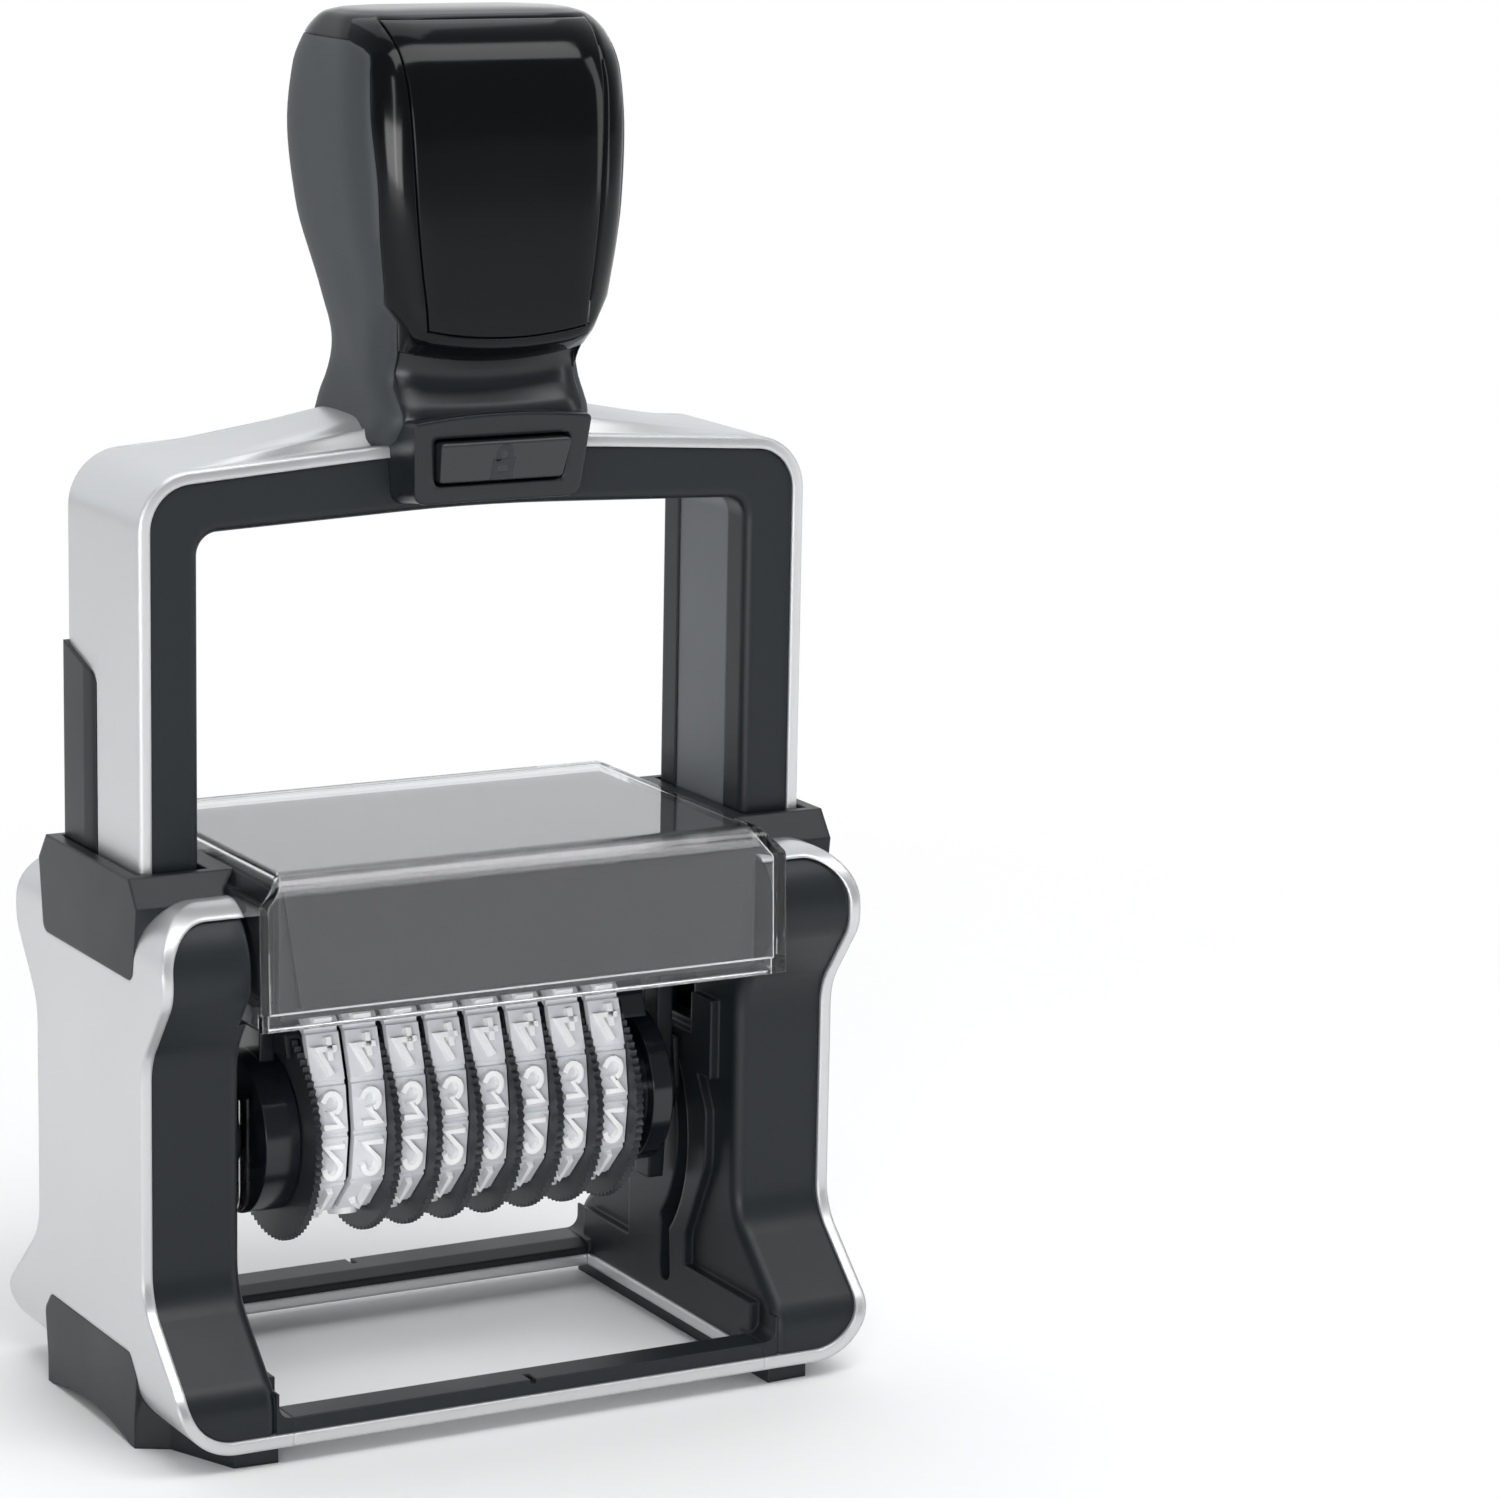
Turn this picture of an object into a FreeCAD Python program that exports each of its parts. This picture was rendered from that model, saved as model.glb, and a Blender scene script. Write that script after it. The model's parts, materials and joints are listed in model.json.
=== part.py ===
import FreeCAD, Part
import math
import os
import re
import Sketcher
from FreeCAD import Placement, Rotation, Vector

# A self-inking numbering stamp. Millimetres, +Z up, +X to the right, the front faces -Y.
# The origin is on the floor, under the middle of the machine. At rest the arch is up and
# the number bands face the ink pad; pressing the arch turns them over onto the paper.

document = FreeCAD.newDocument("NumberingStamp")
sheet = document.addObject("Spreadsheet::Sheet", "Sizes")

SIZES = {
    # body outline seen from the front
    "body_half_width": 44.0,
    "cover_wall": 1.3,
    "shoulder_wall": 1.5,
    "shoulder_top": 63.2,
    "shoulder_round": 6.5,
    "base_round": 7.0,
    "rim_bottom": 2.25,
    "rim_top": 3.65,
    "rim_end": 30.1,
    # body outline seen from the side, half depths and heights of its corners
    "base_half_depth": 26.0,
    "flare_bottom": 8.4,
    "flare_top": 17.9,
    "waist_half_depth": 15.55,
    "waist_top": 45.2,
    "bulge_half_depth": 22.0,
    "bulge_bottom": 53.6,
    "flare_round": 5.0,
    "waist_round": 7.0,
    "bulge_round": 4.5,
    "crown_round": 8.0,
    # black frames inside the silver covers
    "frame_recess": 0.5,
    "wall_face": 31.7,
    "wall_edge_round": 1.5,
    "cavity_face": 33.9,
    "cavity_floor": 5.5,
    "cavity_roof": 59.9,
    "flange_thickness": 2.25,
    "cam_panel_face": 30.5,
    "cam_panel_top": 38.2,
    "cam_panel_back": 9.5,
    "sill_top": 9.0,
    "sill_half_depth": 21.5,
    "rail_top": 5.35,
    "rail_inner": 19.4,
    "rail_bevel": 1.9,
    "rail_bevel_drop": 0.8,
    # feet
    "foot_inner": 31.4,
    "foot_half_depth": 24.5,
    "foot_plate_top": 11.0,
    "foot_plate_half": 14.0,
    "foot_arch_height": 1.5,
    "foot_arch_half": 12.0,
    "screw_across": 34.6,
    "screw_along": 19.0,
    "screw_shank": 1.1,
    "screw_head": 2.0,
    # collars that guide the legs
    "collar_top": 65.7,
    "collar_top_half": 12.3,
    "collar_wide": 62.6,
    "collar_wide_half": 14.65,
    "collar_bottom": 54.2,
    "collar_bottom_half": 13.4,
    "leg_hole_half_depth": 11.2,
    "leg_hole_inner": 34.1,
    "leg_hole_outer": 42.55,
    # arch
    "arch_half_width": 41.8,
    "arch_half_depth": 10.45,
    "arch_corner_top": 109.9,
    "arch_crown": 112.7,
    "arch_corner_round": 6.5,
    "arch_crown_round": 250.0,
    "arch_wall": 1.4,
    "arch_face_recess": 0.4,
    "arch_window_half": 34.4,
    "arch_window_corner": 103.1,
    "arch_window_crown": 104.4,
    "arch_window_round": 2.5,
    "leg_bottom": 50.0,
    "front_frame_back": 5.6,
    "back_frame_front": 6.6,
    "frame_joint_gap": 0.1,
    "core_recess": 0.2,
    "ramp_inner": 10.5,
    "ramp_outer": 34.0,
    "ramp_top": 115.6,
    "trim_front": 1.9,
    "trim_bevel": 4.9,
    "trim_back": 10.9,
    "trim_face": 42.25,
    "trim_return": 37.0,
    "trim_top_front": 85.6,
    "trim_top_back": 88.6,
    # pressing stroke and turning unit
    "stroke": 14.0,
    "pivot_height": 31.5,
    "pin_offset": 4.0,
    "pin_size": 1.1,
    "slot_half_width": 1.4,
    "slot_foot": 7.1,
    "arm_inner": 27.2,
    "arm_outer": 29.2,
    "arm_half_depth": 3.4,
    "arm_top": 58.5,
    "arm_boss": 4.6,
    "arm_tongue_bottom": 19.5,
    "arm_tongue_half": 2.2,
    "lug_bottom": 53.5,
    "lug_half_depth": 3.6,
    "trunnion_size": 2.2,
    "running_gap": 0.05,
    "crank_inner": 29.5,
    "crank_outer": 30.2,
    "pin_tip": 33.2,
    "carrier_end": 26.2,
    "carrier_size": 9.5,
    "left_carrier_inner": 21.9,
    "right_carrier_inner": 23.6,
    "ribbed_drum_inner": 20.7,
    "ribbed_drum_size": 8.0,
    "upright_half": 3.4,
    "upright_top": 47.0,
    "upright_thickness": 1.8,
    "shaft_size": 2.0,
    "shaft_end": 23.7,
    "trunnion_root": 23.9,
    "clip_plane": 26.7,
    "clip_wire": 0.28,
    "clip_half_gap": 2.8,
    "clip_top": 36.0,
    "clip_bend": 25.0,
    # number wheels and bands
    "wheel_size": 13.3,
    "tooth_depth": 0.5,
    "wheel_thickness": 0.8,
    "drum_size": 8.2,
    "band_pitch": 5.2,
    "band_width": 4.1,
    "band_thickness": 1.0,
    "last_wheel": 19.92,
    "first_wheel": -21.25,
    "print_facet_half": 2.93,
    "print_facet_top": 48.2,
    # clear cover, card, housing and ink cartridge
    "window_half_width": 33.0,
    "window_bottom": 49.6,
    "window_top": 66.9,
    "window_front": 24.0,
    "window_front_top": 23.3,
    "window_back": 19.0,
    "window_bevel_foot": 63.8,
    "window_top_half": 30.0,
    "window_wall": 1.2,
    "window_side_bottom": 62.0,
    "window_side_back": 13.0,
    "card_half_width": 29.6,
    "card_foot_half": 27.5,
    "card_foot": 51.4,
    "card_top": 64.8,
    "card_thickness": 0.4,
    "card_front": 21.5,
    "card_back": 17.0,
    "roof_half_width": 30.0,
    "roof_bottom": 62.4,
    "roof_front": 21.1,
    "channel_inner": 24.9,
    "channel_outer": 26.7,
    "channel_bottom": 49.9,
    "cartridge_half_width": 24.3,
    "cartridge_bottom": 50.9,
    "cartridge_top": 60.5,
    "cartridge_front": 19.2,
    "cartridge_back": 21.6,
    "pad_half_width": 22.4,
    "pad_half_depth": 8.3,
    "pad_face": 49.3,
    "pad_top": 57.9,
    # handle
    "cap_depth": 13.6,
    "cap_bottom": 156.7,
    "neck_panel_half": 11.3,
    "neck_panel_back": 8.0,
    "bracket_top": 115.2,
    "bracket_bottom": 105.4,
    "bracket_half_width": 11.4,
    "bracket_face_top": 15.9,
    "bracket_face_bottom": 14.5,
    "badge_back": 14.4,
    "badge_gap": 0.25,
    "button_half_width": 8.1,
    "button_bottom": 107.95,
    "button_top": 112.65,
    "button_face_top": 16.7,
    "button_face_bottom": 15.2,
    "button_back": 13.6,
    "button_travel": 2.2,
    "button_gap": 0.35,
    "stem_size": 1.4,
    "stem_tip": 8.0,
    "stem_height": 109.2,
    "handle_screw_across": 6.5,
    "handle_screw_shank": 1.5,
    "handle_screw_head": 2.6,
    "handle_screw_head_top": 107.0,
    "handle_screw_tip": 124.0,
    # return springs inside the sides
    "spring_across": 38.1,
    "spring_coil": 3.1,
    "spring_wire": 0.45,
    "spring_turns": 9.0,
    "spring_bottom": 6.2,
    "spring_top": 49.3,
}
WHEEL_COUNT = 8
TOOTH_COUNT = 84
SLOT_STEPS = 12
MARGIN = 1.0

for row, (alias, size) in enumerate(SIZES.items(), 1):
    sheet.set(f"A{row}", alias)
    sheet.set(f"B{row}", str(size))
    sheet.setAlias(f"B{row}", alias)
document.recompute()


def formula(text):
    """Turn words of the sizes sheet into references to its cells."""
    return re.sub(r"[a-z_]+", lambda word: f"Sizes.{word[0]}" if word[0] in SIZES else word[0], str(text))


def number(text):
    return float(sheet.evalExpression(formula(text)))


def bind(item, **texts):
    for name, text in texts.items():
        item.setExpression(name.replace("__", "."), formula(text))


def box(name, across, along, up):
    """A block between two X, two Y and two Z values."""
    item = document.addObject("Part::Box", name)
    for (low, high), edge, axis in zip((across, along, up), ("Length", "Width", "Height"), "xyz"):
        item.setExpression(edge, formula(f"({high}) - ({low})"))
        item.setExpression(f"Placement.Base.{axis}", formula(low))
    return item


AXIS_TURNS = {
    "x": Rotation(Vector(0, 1, 0), 90),
    "y": Rotation(Vector(1, 0, 0), -90),
    "z": Rotation(),
}


def rod(name, axis, radius, low, high, centre):
    """A round bar along one axis, from low to high, with its centre at two other values."""
    item = document.addObject("Part::Cylinder", name)
    item.Placement = Placement(Vector(), AXIS_TURNS[axis])
    others = [letter for letter in "xyz" if letter != axis]
    item.setExpression("Radius", formula(radius))
    item.setExpression("Height", formula(f"({high}) - ({low})"))
    item.setExpression(f"Placement.Base.{axis}", formula(low))
    for letter, text in zip(others, centre):
        item.setExpression(f"Placement.Base.{letter}", formula(text))
    return item


def origin_feature(body, role):
    return next(item for item in body.Origin.OriginFeatures if item.Role == role)


def corner_arc(before, corner, after, radius):
    """Where a corner's arc starts and ends, its centre, and whether it turns left."""
    back = (before - corner).normalize()
    ahead = (after - corner).normalize()
    half_angle = math.acos(back * ahead) / 2
    reach = radius / math.tan(half_angle)
    centre = corner + (back + ahead).normalize() * (radius / math.sin(half_angle))
    return corner + back * reach, corner + ahead * reach, centre, back.cross(ahead).z < 0


def draw_outline(sketch, corners):
    """Draw a closed outline of (x, y) or (x, y, radius) corners, each bound to the sheet."""
    points = [Vector(number(corner[0]), number(corner[1]), 0) for corner in corners]
    count = len(points)
    arcs = []
    for index, corner in enumerate(corners):
        if len(corner) == 3:
            after = points[(index + 1) % count]
            arcs.append(corner_arc(points[index - 1], points[index], after, number(corner[2])))
        else:
            arcs.append(None)
    starts = [arc[1] if arc else point for arc, point in zip(arcs, points)]
    ends = [arc[0] if arc else point for arc, point in zip(arcs, points)]
    lines = [
        sketch.addGeometry(Part.LineSegment(starts[index], ends[(index + 1) % count]), False)
        for index in range(count)
    ]
    for index, corner in enumerate(corners):
        before, after = lines[index - 1], lines[index]
        if arcs[index]:
            entry, leave, centre, turns_left = arcs[index]
            first, last = (entry, leave) if turns_left else (leave, entry)
            angles = [math.atan2(point.y - centre.y, point.x - centre.x) for point in (first, last)]
            circle = Part.Circle(centre, Vector(0, 0, 1), number(corner[2]))
            arc = sketch.addGeometry(Part.ArcOfCircle(circle, *angles), False)
            entry_end, leave_end = (1, 2) if turns_left else (2, 1)
            sketch.addConstraint(Sketcher.Constraint("Tangent", before, 2, arc, entry_end))
            sketch.addConstraint(Sketcher.Constraint("Tangent", arc, leave_end, after, 1))
            radius = sketch.addConstraint(Sketcher.Constraint("Radius", arc, number(corner[2])))
            sketch.setExpression(f"Constraints[{radius}]", formula(corner[2]))
            target = sketch.addGeometry(Part.Point(points[index]), True)
            sketch.addConstraint(Sketcher.Constraint("PointOnObject", target, 1, before))
            sketch.addConstraint(Sketcher.Constraint("PointOnObject", target, 1, after))
        else:
            target = after
            sketch.addConstraint(Sketcher.Constraint("Coincident", before, 2, after, 1))
        for kind, text in zip(("DistanceX", "DistanceY"), corner):
            place = sketch.addConstraint(Sketcher.Constraint(kind, -1, 1, target, 1, number(text)))
            sketch.setExpression(f"Constraints[{place}]", formula(text))
    if sketch.solve() != 0:
        raise RuntimeError(f"{sketch.Name} can't be solved")


def sketch_on(body, plane, offset):
    sketch = body.newObject("Sketcher::SketchObject", f"{body.Name}Sketch")
    sketch.AttachmentSupport = [(origin_feature(body, f"{plane}_Plane"), "")]
    sketch.MapMode = "FlatFace"
    sketch.setExpression("AttachmentOffset.Base.z", formula(offset))
    return sketch


def prism(name, plane, low, high, corners):
    """A padded outline. XZ outlines are padded towards -Y, so their low and high swap."""
    body = document.addObject("PartDesign::Body", name)
    start = f"-({high})" if plane == "XZ" else low
    sketch = sketch_on(body, plane, start)
    draw_outline(sketch, corners)
    pad = body.newObject("PartDesign::Pad", f"{name}Pad")
    pad.Profile = sketch
    pad.setExpression("Length", formula(f"({high}) - ({low})"))
    sketch.Visibility = False
    return body


def fuse(name, *items):
    item = document.addObject("Part::MultiFuse", name)
    item.Shapes = list(items)
    item.Refine = True
    return item


def cut(name, base, *tools):
    item = document.addObject("Part::Cut", name)
    item.Base = base
    item.Tool = tools[0] if len(tools) == 1 else fuse(f"{name}Tools", *tools)
    item.Refine = True
    return item


def common(name, *items):
    item = document.addObject("Part::MultiCommon", name)
    item.Shapes = list(items)
    item.Refine = True
    return item


def mirrored(name, source, normal):
    item = document.addObject("Part::Mirroring", name)
    item.Source = source
    item.Normal = normal
    return item


def round_edges(name, base, radius, wanted):
    """Round every edge of base for which wanted(edge) is true."""
    document.recompute()
    size = number(radius)
    item = document.addObject("Part::Fillet", name)
    item.Base = base
    item.Edges = [
        (index, size, size) for index, edge in enumerate(base.Shape.Edges, 1) if wanted(edge)
    ]
    return item


def mirror_corners(corners):
    """Add the mirror image of a right-hand half outline that runs from bottom to top."""
    left = [(f"-({corner[0]})", *corner[1:]) for corner in reversed(corners)]
    return corners + left


SUB_PARTS = []


def sub_part(label, item):
    item.Label = label
    SUB_PARTS.append(item)
    return item


def twin_sub_parts(label, right_item, normal=Vector(1, 0, 0), names=("right", "left")):
    """Name a piece and its mirror image."""
    sub_part(f"{label}_{names[0]}", right_item)
    return sub_part(f"{label}_{names[1]}", mirrored(f"{right_item.Name}Twin", right_item, normal))


def side_profile(inset, bottom, top, crown_round="crown_round"):
    """The waisted outline of the body seen from the side, drawn in by inset."""
    return mirror_corners([
        (f"base_half_depth - ({inset})", bottom),
        (f"base_half_depth - ({inset})", "flare_bottom", "flare_round"),
        (f"waist_half_depth - ({inset})", "flare_top", "waist_round"),
        (f"waist_half_depth - ({inset})", "waist_top", "waist_round"),
        (f"bulge_half_depth - ({inset})", "bulge_bottom", "bulge_round"),
        (f"bulge_half_depth - ({inset})", top, crown_round),
    ])


def collar_profile():
    """A collar seen from the side."""
    return mirror_corners([
        ("collar_bottom_half", "collar_bottom", "1.5"),
        ("collar_wide_half", "collar_wide"),
        ("collar_top_half", "collar_top"),
    ])


def foot_plate_profile():
    """A foot's side plate seen from the side."""
    return mirror_corners([
        ("foot_plate_half - 1.2", "0"),
        ("foot_plate_half", "foot_plate_top - 2.3", "1.5"),
        ("foot_plate_half - 2", "foot_plate_top", "1.5"),
    ])


def screw_holes(name, radius, low, high):
    """Two upright bars at the frame screws of the right side."""
    bars = [
        rod(f"{name}{end}", "z", radius, low, high, ("screw_across", f"{sign}screw_along"))
        for end, sign in (("Front", "-"), ("Back", ""))
    ]
    return fuse(f"{name}Pair", *bars)


def build_side_covers():
    """Silver shells: a C-shaped strip along each side, waisted front and back."""
    strip = prism("SideStrip", "XZ", "-(base_half_depth + 1)", "base_half_depth + 1", [
        ("rim_end", "rim_bottom"),
        ("body_half_width", "rim_bottom", "base_round"),
        ("body_half_width", "shoulder_top", "shoulder_round"),
        ("window_half_width", "shoulder_top"),
        ("window_half_width", "shoulder_top - shoulder_wall"),
        ("body_half_width - cover_wall", "shoulder_top - shoulder_wall", "shoulder_round - cover_wall"),
        ("body_half_width - cover_wall", "rim_top", "base_round - cover_wall"),
        ("rim_end", "rim_top"),
    ])
    profile = prism("SideProfile", "YZ", "rim_end - 1", "body_half_width + 1",
                    side_profile("0", "rim_bottom - 0.5", "shoulder_top + 0.2"))
    collar_room = prism("CollarRoom", "YZ", "window_half_width - 1", "body_half_width + 1", collar_profile())
    foot_room = prism("FootRoom", "YZ", "body_half_width - cover_wall", "body_half_width + 1",
                      foot_plate_profile())
    waisted = common("SideWaisted", strip, profile)
    holes = screw_holes("CoverHoles", "screw_shank", "0", "cavity_floor")
    twin_sub_parts("side_cover", cut("SideCover", waisted, collar_room, foot_room, holes))


def cam_slot():
    """The slot that the turning pin follows: its path, widened, and a straight foot."""
    offset, width = number("pin_offset"), number("slot_half_width")
    stroke, start = number("stroke"), number("pivot_height")
    front, back = [], []
    for step in range(SLOT_STEPS + 1):
        share = step / SLOT_STEPS
        turn = math.pi * share
        place = Vector(0, -offset * math.sin(turn), start - stroke * share + offset * math.cos(turn))
        heading = Vector(0, -offset * math.pi * math.cos(turn),
                         -stroke - offset * math.pi * math.sin(turn)).normalize()
        across = Vector(0, heading.z, -heading.y) * width
        front.append(place + across)
        back.append(place - across)
    curves = []
    for points in (front, back):
        curve = Part.BSplineCurve()
        curve.interpolate(points)
        curves.append(curve.toShape())
    low = Vector(0, 0, number("slot_foot"))
    side = Vector(0, width, 0)
    edges = [
        curves[0],
        Part.LineSegment(front[-1], low - side if front[-1].y < 0 else low + side).toShape(),
        Part.Arc(low - side, low - Vector(0, 0, width), low + side).toShape(),
        Part.LineSegment(back[-1], low + side if back[-1].y > 0 else low - side).toShape(),
        curves[1],
        Part.LineSegment(front[0], back[0]).toShape(),
    ]
    face = Part.Face(Part.Wire(Part.__sortEdges__(edges)))
    depth = number("cavity_face - cam_panel_face") + 2 * MARGIN
    solid = face.extrude(Vector(depth, 0, 0))
    solid.translate(Vector(number("cam_panel_face") - MARGIN, 0, 0))
    for height in (start + offset, start - stroke - offset):
        end = Part.makeCylinder(width, depth, Vector(number("cam_panel_face") - MARGIN, 0, height),
                                Vector(1, 0, 0))
        solid = solid.fuse(end)
    item = document.addObject("Part::Feature", "CamSlot")
    item.Shape = solid.removeSplitter()
    return item


def build_side_frames():
    """Black frames: a flanged box behind each silver cover, with the cam panel inside."""
    inner_round = "base_round - cover_wall"
    block = prism("FrameBlock", "XZ", "-base_half_depth", "base_half_depth", [
        ("wall_face", "rim_top"),
        ("body_half_width - cover_wall", "rim_top", inner_round),
        ("body_half_width - cover_wall", "shoulder_top - shoulder_wall", "shoulder_round - cover_wall"),
        ("wall_face", "shoulder_top - shoulder_wall"),
    ])
    profile = prism("FrameProfile", "YZ", "rim_end", "body_half_width",
                    side_profile("frame_recess", "rim_bottom", "shoulder_top + 0.2"))
    waisted = common("FrameWaisted", block, profile)
    wall = number("wall_face")
    roof = number("shoulder_top - shoulder_wall")

    def on_inner_edge(edge):
        box_of_edge = edge.BoundBox
        on_wall = abs(box_of_edge.XMin - wall) < 0.01 and abs(box_of_edge.XMax - wall) < 0.01
        return on_wall and box_of_edge.ZLength > 0.5 and box_of_edge.ZMax < roof + 0.1

    rounded = round_edges("FrameRounded", waisted, "wall_edge_round", on_inner_edge)
    inset = "frame_recess + flange_thickness"
    cavity = prism("FrameCavity", "YZ", "cavity_face", "body_half_width", mirror_corners([
        (f"base_half_depth - ({inset})", "cavity_floor"),
        (f"base_half_depth - ({inset})", "flare_bottom", "2"),
        (f"waist_half_depth - ({inset})", "flare_top", "waist_round"),
        (f"waist_half_depth - ({inset})", "waist_top + 0.6", "waist_round"),
        (f"bulge_half_depth - ({inset})", "bulge_bottom + 0.6", "2"),
        (f"bulge_half_depth - ({inset})", "cavity_roof", "2.5"),
    ]))
    leg_way = box("LegWay", ("leg_hole_inner", "body_half_width"),
                  ("-leg_hole_half_depth", "leg_hole_half_depth"), ("cavity_roof - 1", "shoulder_top"))
    window_ends = box("WindowEndRoom", ("wall_face - 1", "window_half_width + 0.3"),
                      ("-base_half_depth", "-(window_side_back - 0.5)"),
                      ("window_bottom - 0.3", "shoulder_top"))
    hollow = cut("FrameHollow", rounded, cavity, leg_way, window_ends)
    panel = prism("CamPanel", "YZ", "cam_panel_face", "wall_face + 0.3", [
        ("cam_panel_back", "rim_top"),
        ("cam_panel_back", "cam_panel_top"),
        ("-7.4", "cam_panel_top"),
        ("-7.4", "33.6"),
        ("-9.7", "29.5", "2"),
        ("-9.7", "22.6", "5"),
        ("-4.9", "13", "3"),
        ("-4.9", "rim_top"),
    ])
    sill = box("Sill", ("cam_panel_face", "wall_face + 0.3"), ("-sill_half_depth", "sill_half_depth"),
               ("rim_top", "sill_top"))
    toes = [
        prism(f"Toe{end}", "XZ", *along, [
            ("rim_end", "rim_top"),
            ("wall_face + 0.3", "rim_top"),
            ("wall_face + 0.3", "rail_top + 3"),
            ("wall_face", "rail_top + 3"),
            ("wall_face", "rail_top", "1.5"),
            ("rim_end", "rail_top"),
        ])
        for end, along in (
            ("Front", ("-(base_half_depth - frame_recess)", "-rail_inner")),
            ("Back", ("rail_inner", "base_half_depth - frame_recess")),
        )
    ]
    guide = box("GuideBlock", ("cam_panel_face", "wall_face + 0.3"), ("-10.6", "-5.7"), ("33.6", "43.2"))
    post = rod("SpringPost", "z", "spring_coil - spring_wire - 0.45", "cavity_floor - 0.5", "cavity_floor + 7",
               ("spring_across", "0"))
    filled = fuse("FrameFilled", hollow, panel, sill, guide, post, *toes)
    arm_way = box("ArmWay", ("wall_face - 1", "cavity_face + 0.6"),
                  ("-(lug_half_depth + 0.7)", "lug_half_depth + 0.7"),
                  ("lug_bottom - stroke - 0.4", "arm_top + 0.5"))
    holes = screw_holes("FrameHoles", "screw_shank", "rim_top - 1", "cavity_floor - 0.3")
    twin_sub_parts("side_frame", cut("SideFrame", filled, arm_way, cam_slot(), holes))


def build_base():
    """Front and back rails with the silver strips under them."""
    across = ("-rim_end", "rim_end")
    rail = prism("Rail", "YZ", *across, [
        ("-(base_half_depth - frame_recess)", "rim_top"),
        ("-(base_half_depth - frame_recess)", "rail_top"),
        ("-(rail_inner + rail_bevel)", "rail_top"),
        ("-rail_inner", "rail_top - rail_bevel_drop"),
        ("-rail_inner", "rim_top"),
    ])
    mark = box("CentreMark", ("-0.35", "0.35"), ("-base_half_depth", "-(base_half_depth - 2.6)"),
               ("rail_top - 0.5", "rail_top + 1"))
    twin_sub_parts("base_rail", cut("RailMarked", rail, mark), Vector(0, 1, 0), ("front", "back"))
    trim = box("RailTrim", across, ("-base_half_depth", "-rail_inner"), ("rim_bottom", "rim_top"))
    twin_sub_parts("base_trim", trim, Vector(0, 1, 0), ("front", "back"))


def build_feet():
    """Black feet that fill the space under the silver corners, and their screws."""
    plan = prism("FootPlan", "XY", "0", "rim_bottom + base_round", [
        ("foot_inner", "-foot_half_depth"),
        ("36.6", "-(foot_half_depth - 0.3)"),
        ("40.5", "-15.2"),
        ("body_half_width", "-13.2"),
        ("body_half_width", "13.2"),
        ("40.5", "15.2"),
        ("36.6", "foot_half_depth - 0.3"),
        ("foot_inner", "foot_half_depth"),
    ])
    cover_outline = prism("CoverOutline", "XZ", "-(base_half_depth + 1)", "base_half_depth + 1", [
        ("foot_inner - 5", "rim_bottom"),
        ("body_half_width", "rim_bottom", "base_round"),
        ("body_half_width", "shoulder_top"),
        ("foot_inner - 5", "shoulder_top"),
    ])
    plate = prism("FootPlate", "YZ", "body_half_width - cover_wall", "body_half_width", foot_plate_profile())
    radius = "(foot_arch_half^2 + foot_arch_height^2) / (2 * foot_arch_height)"
    arch = rod("FootArch", "x", radius, "37.5", "body_half_width + 1", ("0", f"foot_arch_height - {radius}"))
    recess = screw_holes("FootRecess", "screw_head + 0.2", "-1", "1.7")
    holes = screw_holes("FootHoles", "screw_shank", "0", "rim_bottom + 1")
    solid = fuse("FootSolid", cut("FootBlock", plan, cover_outline), plate)
    twin_sub_parts("foot_pad", cut("FootPad", solid, arch, recess, holes))
    screws = []
    for side, sign in (("Right", ""), ("Left", "-")):
        for end, lengthwise in (("Front", "-"), ("Back", "")):
            centre = (f"{sign}screw_across", f"{lengthwise}screw_along")
            screws.append(rod(f"ScrewHead{side}{end}", "z", "screw_head", "0.5", "1.7", centre))
            screws.append(rod(f"ScrewShank{side}{end}", "z", "screw_shank", "1.7", "cavity_floor - 0.4", centre))
    sub_part("frame_screws", fuse("FrameScrews", *screws))


def build_collars():
    """Black collars over the shoulders, each with the way for one leg of the arch."""
    block = prism("CollarBlock", "XZ", "-(collar_wide_half + 1)", "collar_wide_half + 1", [
        ("body_half_width", "collar_bottom - 1"),
        ("body_half_width", "collar_top"),
        ("31.4", "collar_top"),
        ("window_half_width + 0.3", "window_bevel_foot - 0.1"),
        ("window_half_width + 0.3", "shoulder_top - shoulder_wall"),
        ("body_half_width - cover_wall", "shoulder_top - shoulder_wall", "shoulder_round - cover_wall"),
        ("body_half_width - cover_wall", "collar_bottom - 1"),
    ])
    profile = prism("CollarProfile", "YZ", "30", "body_half_width + 1", collar_profile())
    way = box("CollarWay", ("leg_hole_inner", "leg_hole_outer"),
              ("-leg_hole_half_depth", "leg_hole_half_depth"), ("collar_bottom - 1", "collar_top + 1"))
    twin_sub_parts("collar", cut("Collar", common("CollarShaped", block, profile), way))


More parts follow.
